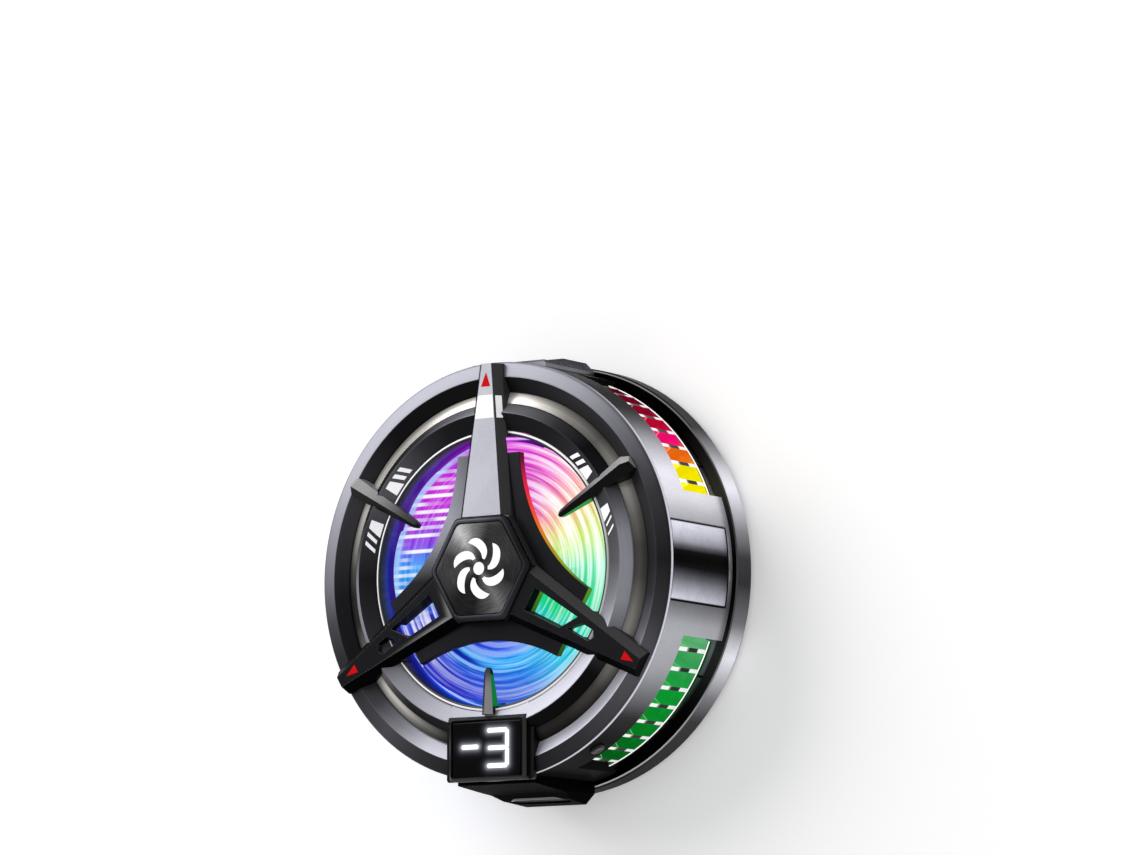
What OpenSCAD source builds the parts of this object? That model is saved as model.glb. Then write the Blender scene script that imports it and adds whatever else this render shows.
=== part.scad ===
// Magnetic phone cooling fan: rear flange on z = 0, fan side towards +Z, 12 o'clock towards +Y.

/* [Base] */
// How far the rear flange stands out of the barrel
flange_lip = 1; // [0.6:0.1:3]
// Thickness of the rear flange
flange_h = 3.4; // [3.2:0.1:4.4]
// Thickness of the flange's outer wall
flange_wall = 1.7; // [1.4:0.1:2]
// Thickness of the flange's floor
floor_t = 1; // [0.8:0.1:1.2]
// Thickness of the soft contact pad
pad_t = 0.6; // [0.4:0.1:1]
// Width of the floor between the magnets and the cold plate
cold_margin = 5; // [4:0.1:7]
// Width of the cold plate's rim
cold_rim_w = 1.2; // [0.8:0.1:1.6]
// Thickness of the cold plate's rim
cold_rim_t = 0.8; // [0.6:0.1:1.2]
// Gap between the magnets and the flange's wall
magnet_gap = 0.8; // [0.4:0.1:1.6]
// Radial width of a magnet
magnet_w = 3.5; // [3:0.1:3.8]
// Thickness of a magnet
magnet_t = 2; // [1.5:0.1:2.4]
// Magnets on each side of the ring
magnets_per_side = 8; // [4:1:12]
// Angle that one side's magnets cover
magnet_span = 128; // [100:2:128]

/* [Barrel] */
// Diameter of the barrel
barrel_d = 56; // [55:0.5:57]
// Thickness of the barrel's wall
barrel_wall = 1.4; // [1.2:0.1:1.6]
// Height of the barrel above the flange
barrel_h = 14.35; // [13.8:0.05:16]
// Height of the barrel's wall above the side vents
brow_h = 4.95; // [4.6:0.05:6]
// Half the angle of the legs between the vents
leg_angle = 20; // [19:0.5:24]
// Height of a side panel along the ring
panel_w = 10.7; // [8:0.1:13]
// Depth that a side panel sits in the barrel
panel_t = 0.8; // [0.6:0.1:0.9]
// Diameter of the mode button
button_d = 2; // [1.6:0.1:2.2]
// Angle of the mode button round the barrel
button_angle = -59; // [-62:1:-56]
// Travel of the mode button
button_travel = 0.4; // [0.2:0.05:0.5]

/* [Brackets] */
// Width of the top and bottom brackets
bracket_w = 12.4; // [11.6:0.1:13]
// How far the top bracket stands out of the barrel
top_reach = 1.25; // [1.1:0.05:2]
// How far the bottom bracket stands out of the barrel
bottom_reach = 2.4; // [1.8:0.1:3]

/* [Cooling stack] */
// Least width of the foam round the square cooling element
foam_w = 1.4; // [0.8:0.1:3.5]
// Thickness of the cooling element
peltier_t = 3; // [2.4:0.1:3.4]
// Thickness of each ceramic plate on it
ceramic_t = 0.7; // [0.5:0.1:0.9]
// Thickness of the heat sink's base
sink_base_t = 1.6; // [1.2:0.1:2]
// Diameter of the heat sink's core
core_d = 15; // [13:0.5:17]
// Number of fins, if none were left out at the brackets
fin_count = 60; // [48:1:64]
// Thickness of a fin
fin_t = 0.45; // [0.35:0.05:0.5]
// Sideways fold of a fin at half height
fin_fold = 0.9; // [0.4:0.1:1.1]
// How far the fins in the vents stay behind the barrel's outside
fin_inset = 0.6; // [0.5:0.1:1]
// Thickness of the base's lip under those fins
lip_t = 0.6; // [0.5:0.1:0.9]

/* [Fan] */
// Number of blades
blade_count = 11; // [9:1:11]
// Diameter of the rotor's hub
rotor_hub_d = 12.6; // [12:0.2:14]
// Thickness of a blade
blade_t = 0.5; // [0.4:0.05:0.7]
// Share of the disc that the blades cover, over 1 where they overlap
blade_cover = 1.15; // [0.8:0.05:1.2]
// Gap between blade tips and the mouth
tip_gap = 0.6; // [0.4:0.05:1]
// Diameter of the shaft
shaft_d = 2; // [1.6:0.1:2.2]
// Thickness of the fan frame's plate
frame_t = 1; // [0.8:0.1:1.2]
// Width of a fan strut
strut_w = 2.4; // [1.6:0.1:3.2]

/* [Front rings] */
// Width of the outer ring's face, from its ridge to the barrel's edge
rim_face_w = 2.1; // [1.6:0.1:2.6]
// Height of the outer ring's ridge above the barrel
ridge_h = 1; // [0.8:0.05:1.3]
// Width of the slope inside the ridge
slope_w = 1.95; // [1.5:0.05:2.3]
// Width of the polished trim
trim_w = 1.65; // [1.3:0.05:2]
// Height of the trim's inner edge above the barrel
trim_h = 0.95; // [0.7:0.05:1.1]
// Width of the inner ring's outer slope
crest_w = 1.3; // [1:0.05:1.7]
// Height of the inner ring's peak above the barrel
peak_h = 2.25; // [2:0.05:2.35]
// Width of the funnel, from the peak to the light ring
funnel_w = 2.3; // [1.8:0.05:2.6]
// Height of the funnel's low edge above the barrel
funnel_h = 1.35; // [1.2:0.05:1.5]
// Thickness of the light ring
light_t = 0.6; // [0.5:0.05:0.7]
// Number of lights
led_count = 12; // [8:1:16]

/* [Guard] */
// Thickness of the winged plate
plate_t = 1.1; // [0.8:0.05:1.3]
// Height of the winged plate's face above the barrel
plate_h = 1.95; // [1.8:0.05:2.1]
// Gap between the wing tips and the mouth's wall
wing_gap = 2.6; // [2.2:0.1:4]
// Half the width of a wing at its tip
wing_half_w = 5; // [4.6:0.1:5.4]
// Least radius of the plate between two wings
wing_waist = 9.45; // [8.8:0.05:9.8]
// Distance of an arm's tip from the barrel's edge
arm_inset = 0.4; // [0.2:0.1:1.2]
// Width of an arm's face at the hub
arm_hub_w = 6.2; // [5.6:0.1:6.6]
// Width of an arm's face at its tip
arm_tip_w = 1.5; // [1.2:0.1:1.8]
// Height of an arm's face at the hub, above the barrel
arm_hub_h = 3.65; // [3.4:0.05:3.9]
// Height of an arm's face at its tip, above the barrel
arm_tip_h = 2.5; // [2.3:0.05:2.8]
// Sideways width of an arm's chamfer
chamfer_w = 1; // [0.8:0.05:1.1]
// Drop of an arm's chamfer
chamfer_drop = 1.1; // [0.9:0.05:1.2]
// Hub size across its flats
hub_af = 13.9; // [13:0.1:14.6]
// Width of the hub's raised rim
hub_rim = 0.8; // [0.6:0.05:1]
// Height of the hub's rim above the barrel
hub_h = 4.25; // [4:0.05:4.6]
// Width of a guide fin at the ring
guide_w = 2.6; // [2:0.1:3]
// How far the guide fins reach in over the fan
guide_overhang = 5.1; // [4:0.1:5.5]

/* [Display] */
// Width of the display box
display_w = 12.3; // [11.4:0.1:13]
// Height of the display box, across the ring
display_l = 8.5; // [8:0.1:9]
// How far the display's lower edge stands inside the barrel's edge
display_inset = 0; // [-0.4:0.1:0.6]
// Height of the display's face above the barrel
display_h = 2.35; // [2.25:0.05:2.6]
// Width of the frame round the lens
display_frame = 0.5; // [0.4:0.05:0.8]
// Width of the step at the display's sides
display_step = 0.8; // [0.5:0.1:1]

/* [Hidden] */
$fn = 96;

// Clearances: seat between fixed pieces, slip between a hole and what passes through it,
// run between turning pieces
seat = 0.05;
slip = 0.1;
run = 0.03;
// Overlap that makes two shapes of one piece join, and a cut pass its faces
join = 0.2;
past = 1;

// Heights of the stack
flange_z = pad_t + flange_h;
floor_z = pad_t + floor_t;
rim_z = floor_z + cold_rim_t;
sink_z = rim_z + peltier_t;
fin_z = sink_z + sink_base_t;
seat_z = flange_z + barrel_h;
vent_z = seat_z - brow_h;
frame_z = vent_z + frame_t;

// Radii, from the barrel inwards along the front
barrel_r = barrel_d / 2;
barrel_in_r = barrel_r - barrel_wall;
ridge_r = barrel_r - rim_face_w;
trim_out_r = ridge_r - slope_w;
trim_in_r = trim_out_r - trim_w;
peak_r = trim_in_r - crest_w;
light_r = peak_r - funnel_w;
mouth_r = light_r - light_t;
tip_r = mouth_r - tip_gap;

// Radii at the back, from the flange inwards
flange_r = barrel_r + flange_lip;
tray_r = flange_r - flange_wall;
magnet_out_r = tray_r - magnet_gap;
magnet_in_r = magnet_out_r - magnet_w;
cold_r = magnet_in_r - cold_margin;
cold_rim_r = cold_r + cold_rim_w;
peltier_side = sqrt(2) * (cold_rim_r - slip - foam_w);
sink_r = barrel_in_r - 2 * slip;
frame_r = barrel_in_r - slip;

// Front ring: the ledge that carries the trims, its underside, the valley and the outer edge
ledge_t = 0.5;
ledge_z = seat_z - 0.45;
under_z = ledge_z - ledge_t;
valley_z = seat_z - 0.05;
edge_z = seat_z + 0.7;
edge_bevel = 0.3;
ridge_z = seat_z + ridge_h;
trim_z = seat_z + trim_h;
peak_z = seat_z + peak_h;
funnel_z = seat_z + funnel_h;
rim_w = 1;
lip_w = 0.7;
lip_h = 0.8;
flange_bevel = 0.35;
magnet_lip_r = magnet_in_r - slip;

// Side panels stop above the flange; the vents' wedges stop inside the wall
panel_low = flange_z + 0.8;
vent_in_r = barrel_in_r - 0.6;
bracket_bevel = 0.3;

// Screws: base screws stand beside the power board, guard screws under the arms
screw_r = 0.8;
screw_head_r = 1.4;
screw_head_t = 1.2;
screw_depth = 4;
board_w = 9.4;
boss_wall = 0.8;
boss_r = screw_r + boss_wall;
cup_wall = 0.5;
web_h = 2;
base_screw_r = barrel_in_r - boss_r + join;
base_screw_angle = ceil(asin((board_w / 2 + boss_r + 2 * slip) / base_screw_r));
guard_screw_r = (ridge_r + trim_out_r) / 2;
guard_head_t = 0.5;
guard_screw_tip = 0.7;
hub_screw_r = 0.95;
hub_head_r = 1.7;
hub_head_t = 0.6;
hub_skin = 0.6;

// Charging socket and its board
usb_w = 8.94;
usb_h = 3.26;
usb_wall = 0.3;
usb_l = 7.3;
board_t = 0.8;
board_z = sink_z;
usb_z = board_z + board_t + usb_h / 2;
bracket_low = -(barrel_r + bottom_reach);
usb_inset = 0.5;
usb_mouth = bracket_low + usb_inset;
board_setback = 2.6;
board_front = usb_mouth + board_setback;
board_gap = 1;
board_back = -(cold_rim_r + board_gap);
board_post_r = 1.2;
board_post_y = board_back - board_post_r - 0.4;
notch_half_w = board_w / 2 + 2 * slip;
notch_top = usb_z + usb_h / 2 + 2 * slip;
// The heat sink is cut straight to clear the board and the screw bosses
cut_gap = 0.4;
cut_half_w = base_screw_r * sin(base_screw_angle) + boss_r + cut_gap;
cut_y = base_screw_r * cos(base_screw_angle) - boss_r - cut_gap;
cut_low_y = -board_back - cut_gap;
// Span of angle at each bracket that is left without fins
bare_angle = base_screw_angle + asin((boss_r + cut_gap + fin_fold + fin_t / 2) / base_screw_r);
// Angle that a folded fin needs beside a leg
fin_clear = asin((fin_fold + fin_t / 2 + 2 * slip) / barrel_in_r);
// Angle between the base's lip and a leg
lip_clear = asin(cut_gap / barrel_in_r);

// Wires of the cooling element and the sensor beside it
lead_r = 0.5;
lead_x = 1.5;
lead_z = (rim_z + sink_z) / 2;
lead_end = 1.4;
sensor_r = 0.7;
sensor_h = 1.4;
sensor_y = (peltier_side / 2 + cold_rim_r) / 2;

// Lights, their board and the switch that stands on it
led_ledge = 0.2;
led_z = frame_z + led_ledge + board_t;
led_side = 1.6;
led_h = 0.8;
led_board_in = light_r + 2 * slip;
led_margin = 3.2;
led_board_out = barrel_in_r - led_margin;
led_inset = 0.6;
led_r = led_board_in + led_side / 2 + led_inset;
button_rise = 0.6;
button_z = led_z + button_rise;
button_r = button_d / 2;
button_stand = 0.5;
button_flange = 0.3;
button_flange_t = 0.5;
button_bevel = 0.2;
switch_w = 3;
switch_l = 2;
switch_h = 1.4;
switch_nub = 0.3;
button_in_r = barrel_in_r - 2 * slip - button_flange_t;
switch_back = button_in_r - button_travel - slip - switch_nub - switch_l;

// Motor
shaft_r = shaft_d / 2;
sleeve_t = 1;
sleeve_r = shaft_r + sleeve_t;
tube_t = 0.8;
tube_r = sleeve_r + tube_t;
rotor_gap = 0.3;
plate_z = seat_z + plate_h;
plate_low = plate_z - plate_t;
rotor_z = frame_z + rotor_gap;
rotor_top = plate_low - 2 * rotor_gap;
rotor_cap_t = 0.6;
yoke_t = 0.3;
rotor_hub_r = rotor_hub_d / 2;
rotor_wall = 0.7;
yoke_r = rotor_hub_r - rotor_wall;
magnet_r = yoke_r - yoke_t;
rotor_magnet_t = 0.5;
motor_gap = 0.2;
stator_r = magnet_r - rotor_magnet_t - motor_gap;
cap_z = rotor_top - rotor_cap_t;
coil_top = cap_z - yoke_t - rotor_gap;
coil_rise = 0.4;
coil_low = frame_z + coil_rise;
bearing_z = vent_z + frame_t / 2;
// Stator: its ring, its four poles with shoes and the turns wound on them
stator_ring_r = tube_r + 0.5;
pole_w = 1.2;
shoe_t = 0.5;
turns = 0.55;
turns_h = 0.4;
coil_in = stator_ring_r + seat;
coil_half_w = pole_w / 2 + turns;
coil_out = sqrt(pow(stator_r - shoe_t, 2) - pow(coil_half_w, 2)) - seat;
core_low = coil_low + turns_h;
core_t = coil_top - coil_low - 2 * turns_h;

// Blades: rows from hub to tip, columns from the leading to the trailing edge
blade_rows = 6;
blade_columns = 5;
blade_span = blade_cover * 360 / blade_count;
blade_sweep = 16;
blade_bow = 0.5;
blade_dive = rotor_top - rotor_z - 0.7;

// Guard
arm_angles = [90, 210, 330];
guide_angles = [30, 150, 270];
wing_edge_r = 24;
wing_flare = 1.3 * wing_half_w;
wing_reach = mouth_r - wing_gap;
arm_reach = barrel_r - arm_inset;
guide_in_r = mouth_r - guide_overhang;
wing_edge_at = wing_waist + wing_edge_r;
hub_set = 0.45;
hub_seat_z = seat_z + arm_hub_h - hub_set;
hub_z = seat_z + hub_h;
hub_recess = 0.3;
// Windows of the lower arms: ends, the bar between them and the half width by the hub
window_gap = 1.9;
window_in = hub_af / 2 + window_gap;
window_out = arm_reach - 7.6;
window_bar = window_in + 0.66 * (window_out - window_in);
window_half = 1.7;

// Display
display_z = seat_z + display_h;
display_low = barrel_r - display_inset;
display_high = display_low - display_l;
display_y = -(display_low + display_high) / 2;
display_bevel = 0.35;
lens_t = 0.5;
lens_inset = 0.1;
lens_z = display_z - lens_inset - lens_t;
lens_w = display_w - 2 * display_frame;
lens_l = display_l - 2 * display_frame;
module_t = 0.9;
step_z = display_z - 0.9;
step_back = 1.6;

module lathe(points) {
    rotate_extrude() polygon(points);
}

module tube(r_out, r_in, z_low, z_high) {
    translate([0, 0, z_low]) difference() {
        cylinder(r = r_out, h = z_high - z_low);
        translate([0, 0, -past]) cylinder(r = r_in, h = z_high - z_low + 2 * past);
    }
}

module post(r, z_low, z_high) {
    translate([0, 0, z_low]) cylinder(r = r, h = z_high - z_low);
}

module at_polar(r, angle) {
    rotate([0, 0, angle]) translate([r, 0, 0]) children();
}

// Wedge of a disc between two angles, less than 180 degrees apart
module sector(r, from, to, z_low, z_high) {
    middle = (from + to) / 2;
    far = r / cos((to - from) / 4);
    translate([0, 0, z_low]) linear_extrude(z_high - z_low) intersection() {
        circle(r = r);
        polygon([[0, 0], far * [cos(from), sin(from)], far * [cos(middle), sin(middle)],
            far * [cos(to), sin(to)]]);
    }
}

module stadium(w, h) {
    square([w - h, h], center = true);
    for (side = [-1, 1]) translate([side * (w - h) / 2, 0]) circle(d = h);
}

module at_base_screws() {
    for (side = [90, 270], turn = [-1, 1]) at_polar(base_screw_r, side + turn * base_screw_angle) children();
}

// Solid of the front rings' outer faces, grown by a clearance, used to cut what sits on them
module ring_faces(gap) {
    outer_faces(gap);
    lathe([[mouth_r - gap, under_z], [trim_in_r + seat, under_z], [trim_in_r + seat, trim_z + gap],
        [trim_in_r, trim_z + gap], [peak_r, peak_z + gap], [light_r, funnel_z + gap],
        [mouth_r - gap, funnel_z + gap]]);
}

// The same for the polished trim and the outer ring alone
module outer_faces(gap) {
    lathe([[trim_in_r, under_z], [barrel_r + past, under_z], [barrel_r + past, edge_z + gap],
        [barrel_r - edge_bevel, edge_z + gap], [ridge_r, ridge_z + gap], [trim_out_r, valley_z + gap],
        [trim_in_r, trim_z + gap]]);
}

module base_shell() {
    color("#1d1e22") difference() {
        union() {
            lathe([[cold_r + slip, pad_t], [flange_r - flange_bevel, pad_t], [flange_r, pad_t + flange_bevel],
                [flange_r, flange_z - flange_bevel], [flange_r - flange_bevel, flange_z],
                [tray_r, flange_z], [tray_r, floor_z], [cold_r + slip, floor_z]]);
            for (side = [0, 180]) rotate([0, 0, side]) intersection() {
                tube(magnet_lip_r, magnet_lip_r - lip_w, floor_z - join, floor_z + magnet_t);
                sector(tray_r, -magnet_span / 2, magnet_span / 2, 0, flange_z);
            }
            at_base_screws() {
                post(screw_head_r + cup_wall, floor_z - join, flange_z);
                translate([0, -screw_head_r, floor_z - join])
                    cube([tray_r - base_screw_r + flange_wall / 2, 2 * screw_head_r, web_h]);
            }
            for (side = [-1, 1]) translate([side * (board_w / 2 - board_post_r), board_post_y, 0])
                post(board_post_r, floor_z - join, board_z);
        }
        at_base_screws() {
            post(screw_r + slip, -past, flange_z + past);
            post(screw_head_r + slip, -past, floor_z + screw_head_t);
        }
    }
}

module contact_pad() {
    pad_r = flange_r - flange_bevel;
    color("#2c2d31") difference() {
        lathe([[cold_r + 4 * slip, 0], [pad_r - flange_bevel, 0], [pad_r, flange_bevel], [pad_r, pad_t],
            [cold_r + 4 * slip, pad_t]]);
        groove_r = (cold_r + flange_r) / 2;
        tube(groove_r + lip_w / 2, groove_r - lip_w / 2, -past, pad_t / 3);
    }
}

module cold_plate() {
    color("#c9ccd1") lathe([[0, 0], [cold_r - slip, 0], [cold_r, slip], [cold_r, floor_z + seat],
        [cold_rim_r, floor_z + seat], [cold_rim_r, rim_z], [0, rim_z]]);
}

module magnets() {
    pitch = magnet_span / magnets_per_side;
    gap_angle = 0.8;
    color("#9a9da3") for (side = [0, 180], i = [0 : magnets_per_side - 1]) {
        start = side - magnet_span / 2 + i * pitch;
        difference() {
            sector(magnet_out_r, start + gap_angle / 2, start + pitch - gap_angle / 2,
                floor_z, floor_z + magnet_t);
            post(magnet_in_r, floor_z - past, floor_z + magnet_t + past);
        }
    }
}

module peltier_module() {
    pellet_inset = 0.8;
    color("#e8e4da") union() {
        for (z = [rim_z, sink_z - ceramic_t]) translate([0, 0, z + ceramic_t / 2])
            cube([peltier_side, peltier_side, ceramic_t], center = true);
        translate([0, 0, (rim_z + sink_z) / 2])
            cube([peltier_side - 2 * pellet_inset, peltier_side - 2 * pellet_inset, peltier_t - ceramic_t],
                center = true);
    }
}

module peltier_leads() {
    start = -peltier_side / 2 - seat;
    color("firebrick") for (side = [-1, 1]) translate([side * lead_x, start, lead_z]) rotate([90, 0, 0])
        cylinder(r = lead_r, h = start - board_back + lead_end);
}

module foam_gasket() {
    color("#3a3b40") difference() {
        post(cold_rim_r - slip, rim_z, sink_z);
        translate([0, 0, lead_z])
            cube([peltier_side + 4 * slip, peltier_side + 4 * slip, peltier_t + past], center = true);
        for (side = [-1, 1]) translate([side * lead_x, 0, lead_z]) rotate([90, 0, 0])
            cylinder(r = lead_r + slip, h = cold_rim_r + past);
        translate([0, sensor_y, rim_z - past]) cylinder(r = sensor_r + slip, h = sensor_h + 2 * slip + past);
    }
}

module temperature_sensor() {
    color("#2f2f2f") translate([0, sensor_y, rim_z + seat]) cylinder(r = sensor_r, h = sensor_h);
}

module main_board() {
    color("#1f5a3c") translate([-board_w / 2, board_front, board_z])
        cube([board_w, board_back - board_front, board_t]);
}

module along_usb(from, to) {
    translate([0, to, usb_z]) rotate([90, 0, 0]) linear_extrude(to - from) children();
}

module usb_shell() {
    color("#b9bcc2") difference() {
        along_usb(usb_mouth, usb_mouth + usb_l) stadium(usb_w, usb_h);
        along_usb(usb_mouth - past, usb_mouth + usb_l + past)
            stadium(usb_w - 2 * usb_wall, usb_h - 2 * usb_wall);
    }
}

module usb_tongue() {
    tongue_w = 6.7;
    tongue_t = 0.7;
    tongue_inset = 0.8;
    block_l = 2.2;
    color("#101114") union() {
        along_usb(usb_mouth + usb_l - block_l, usb_mouth + usb_l)
            stadium(usb_w - 2 * usb_wall - slip, usb_h - 2 * usb_wall - slip);
        along_usb(usb_mouth + tongue_inset, usb_mouth + usb_l - block_l + join)
            square([tongue_w, tongue_t], center = true);
    }
}

// Base and core of the heat sink, cut straight at the brackets, with a thin lip out into each vent
module heat_sink() {
    color("#c3c6cc") difference() {
        union() {
            post(sink_r, sink_z + seat, fin_z);
            post(core_d / 2, fin_z - join, vent_z - seat);
            for (quarter = [0 : 90 : 270])
                sector(barrel_r - fin_inset, quarter + leg_angle + lip_clear,
                    quarter + 90 - leg_angle - lip_clear, sink_z + seat, sink_z + lip_t);
        }
        translate([-cut_half_w, cut_y, sink_z - past])
            cube([2 * cut_half_w, barrel_r, sink_base_t + 2 * past]);
        translate([-cut_half_w, -cut_low_y - barrel_r, sink_z - past])
            cube([2 * cut_half_w, barrel_r, sink_base_t + 2 * past]);
    }
}

// Folded plate: half of it leans one way, half the other, carried along the radius
module fin(start, end, low) {
    middle = (fin_z + vent_z) / 2;
    translate([start, 0, 0]) rotate([90, 0, 90]) linear_extrude(end - start) polygon([
        [-fin_t / 2, low], [fin_t / 2, low], [fin_t / 2 + fin_fold, middle], [fin_t / 2, vent_z - seat],
        [-fin_t / 2, vent_z - seat], [-fin_t / 2 + fin_fold, middle]]);
}

// Fins behind the legs end inside the barrel; those in the vents reach out over the base's lip
module sink_fins() {
    pitch = 360 / fin_count;
    start = core_d / 2 + seat;
    color("#d9dbe0") for (i = [0 : fin_count - 1]) if (abs(sin(i * pitch)) < cos(bare_angle))
        if (abs(sin(i * pitch)) > sin(leg_angle + fin_clear)) difference() {
            rotate([0, 0, i * pitch]) fin(start, barrel_r - fin_inset, sink_z + lip_t + seat);
            post(sink_r + seat, sink_z, fin_z);
        } else rotate([0, 0, i * pitch]) fin(start, sink_r, fin_z);
}

module panel_cut(gap, z_low) {
    height = panel_w + 2 * gap;
    intersection() {
        tube(barrel_r + past, barrel_r - panel_t - gap, z_low, seat_z + past);
        translate([barrel_r, 0, seat_z]) cube([barrel_d / 2, height, 4 * barrel_h], center = true);
    }
}

module barrel() {
    color("#2b2c31") difference() {
        union() {
            tube(barrel_r, barrel_in_r, flange_z, seat_z);
            intersection() {
                at_base_screws() post(boss_r, flange_z, vent_z - slip);
                post(barrel_r, flange_z, seat_z);
            }
        }
        for (quarter = [0 : 90 : 270]) difference() {
            sector(barrel_r + past, quarter + leg_angle, quarter + 90 - leg_angle, flange_z - past, vent_z);
            post(vent_in_r, 0, seat_z);
        }
        at_base_screws() post(screw_r + seat, flange_z - past, flange_z + screw_depth + cut_gap);
        panel_cut(slip, panel_low);
        rotate([0, 0, 180]) panel_cut(slip, panel_low);
        translate([-notch_half_w, -barrel_r - past, flange_z - past])
            cube([2 * notch_half_w, barrel_wall + 2 * past, notch_top - flange_z + past]);
        at_button() cylinder(r = button_r + slip, h = 3 * barrel_wall, center = true);
    }
}

module side_panel() {
    color("#4a4b52") difference() {
        intersection() {
            post(barrel_r + seat, panel_low + slip, seat_z - seat);
            translate([barrel_r, 0, seat_z]) cube([barrel_d / 2, panel_w, 4 * barrel_h], center = true);
        }
        post(barrel_r - panel_t, 0, seat_z + past);
    }
}

module side_panel_right() {
    side_panel();
}

module side_panel_left() {
    rotate([0, 0, 180]) side_panel();
}

// Stepped block on the barrel: its side profile, cut to a chamfered front view and to the barrel
module bracket(profile, reach) {
    corner = 1.4;
    half = bracket_w / 2;
    out = barrel_r + reach;
    difference() {
        intersection() {
            translate([half + past, 0, 0]) rotate([0, -90, 0]) linear_extrude(bracket_w + 2 * past)
                polygon(profile);
            linear_extrude(seat_z) polygon([[-half, 0], [half, 0], [half, out - corner], [half - corner, out],
                [corner - half, out], [-half, out - corner]]);
        }
        post(barrel_r + seat, -past, seat_z + past, $fn = 240);
    }
}

module top_bracket() {
    out = barrel_r + top_reach;
    step = 0.72 * top_reach;
    front = seat_z - 0.17 * barrel_h;
    color("#26272b") bracket([[flange_z, 0], [front, 0], [front, out - step - bracket_bevel],
        [front - bracket_bevel, out - step], [flange_z + 0.51 * barrel_h, out - step],
        [flange_z + 0.39 * barrel_h, out], [flange_z, out]], top_reach);
}

module bottom_bracket() {
    out = barrel_r + bottom_reach;
    front = edge_z;
    color("#26272b") difference() {
        rotate([0, 0, 180]) bracket([[flange_z, 0], [front, 0], [front, barrel_r + bracket_bevel],
            [flange_z + 0.47 * barrel_h, out - 0.5 * bottom_reach],
            [flange_z + 0.34 * barrel_h, out - 0.2 * bottom_reach], [flange_z, out]], bottom_reach);
        along_usb(bracket_low - past, usb_mouth + usb_l) stadium(usb_w + 2 * slip, usb_h + 2 * slip);
        translate([-notch_half_w, board_front - slip, flange_z - past])
            cube([2 * notch_half_w, barrel_r, board_z + board_t + slip - flange_z + past]);
    }
}

module at_button() {
    at_polar(barrel_r, button_angle) translate([0, 0, button_z]) rotate([0, 90, 0]) children();
}

module mode_button() {
    shoulder = barrel_r + button_stand - button_bevel;
    color("#17181b") rotate([0, 0, button_angle]) translate([0, 0, button_z]) rotate([0, 90, 0]) {
        translate([0, 0, button_in_r]) cylinder(r = button_r + button_flange, h = button_flange_t);
        translate([0, 0, button_in_r]) cylinder(r = button_r, h = shoulder - button_in_r);
        translate([0, 0, shoulder]) cylinder(r1 = button_r, r2 = button_r - button_bevel, h = button_bevel);
    }
}

module button_switch() {
    color("#0f0f11") rotate([0, 0, button_angle]) {
        translate([switch_back, -switch_w / 2, led_z]) cube([switch_l, switch_w, switch_h]);
        translate([switch_back + switch_l - join, -switch_nub, button_z - switch_nub])
            cube([switch_nub + join, 2 * switch_nub, 2 * switch_nub]);
    }
}

module fan_frame() {
    color("#141518") difference() {
        union() {
            tube(frame_r, mouth_r, vent_z, frame_z);
            tube(frame_r, frame_r - rim_w, frame_z - join, under_z - seat);
            tube(led_board_out, led_board_out - lip_w, frame_z - join, frame_z + led_ledge);
            for (angle = guide_angles) rotate([0, 0, angle]) translate([0, -strut_w / 2, vent_z])
                cube([mouth_r + join, strut_w, frame_t]);
            post(rotor_hub_r, vent_z, frame_z);
            post(tube_r, frame_z - join, coil_top);
        }
        post(sleeve_r + run, bearing_z, coil_top + past);
        rotate([0, 0, button_angle]) translate([frame_r - 2 * rim_w, -switch_w / 2 - 2 * slip, frame_z])
            cube([3 * rim_w, switch_w + 4 * slip, seat_z]);
    }
}

module bearing_sleeve() {
    color("#b08d57") tube(sleeve_r, shaft_r + run, bearing_z + seat, coil_top);
}

// Four poles with curved shoes on a ring
module stator_core() {
    color("#8d9096") translate([0, 0, core_low]) linear_extrude(core_t) difference() {
        union() {
            circle(r = stator_ring_r);
            for (angle = [0 : 90 : 270]) rotate(angle) translate([0, -pole_w / 2])
                square([stator_r - shoe_t / 2, pole_w]);
            difference() {
                circle(r = stator_r);
                circle(r = stator_r - shoe_t);
                for (angle = [45 : 90 : 315]) rotate(angle) translate([0, -pole_w / 2])
                    square([stator_r + past, pole_w]);
            }
        }
        circle(r = tube_r + seat);
    }
}

module stator_coils() {
    color("#b3672f") for (angle = [0 : 90 : 270]) rotate([0, 0, angle]) difference() {
        translate([coil_in, -coil_half_w, coil_low])
            cube([coil_out - coil_in, 2 * coil_half_w, coil_top - coil_low]);
        translate([coil_in - past, -pole_w / 2 - seat, core_low - seat])
            cube([coil_out - coil_in + 2 * past, pole_w + 2 * seat, core_t + 2 * seat]);
    }
}

// Blade surface: s runs from hub to tip, t from the leading to the trailing edge
function blade_point(s, t, side) =
    let (r = rotor_hub_r - join + s * (tip_r - rotor_hub_r + join))
    let (angle = blade_sweep * s * s + blade_span * (t - 0.5))
    let (bow = blade_bow * (1 - pow(2 * t - 1, 2)))
    [r * cos(angle), r * sin(angle),
        (rotor_z + rotor_top) / 2 + blade_dive * (0.5 - t) * (1 - 0.25 * s) + bow * s + side * blade_t / 2];

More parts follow.
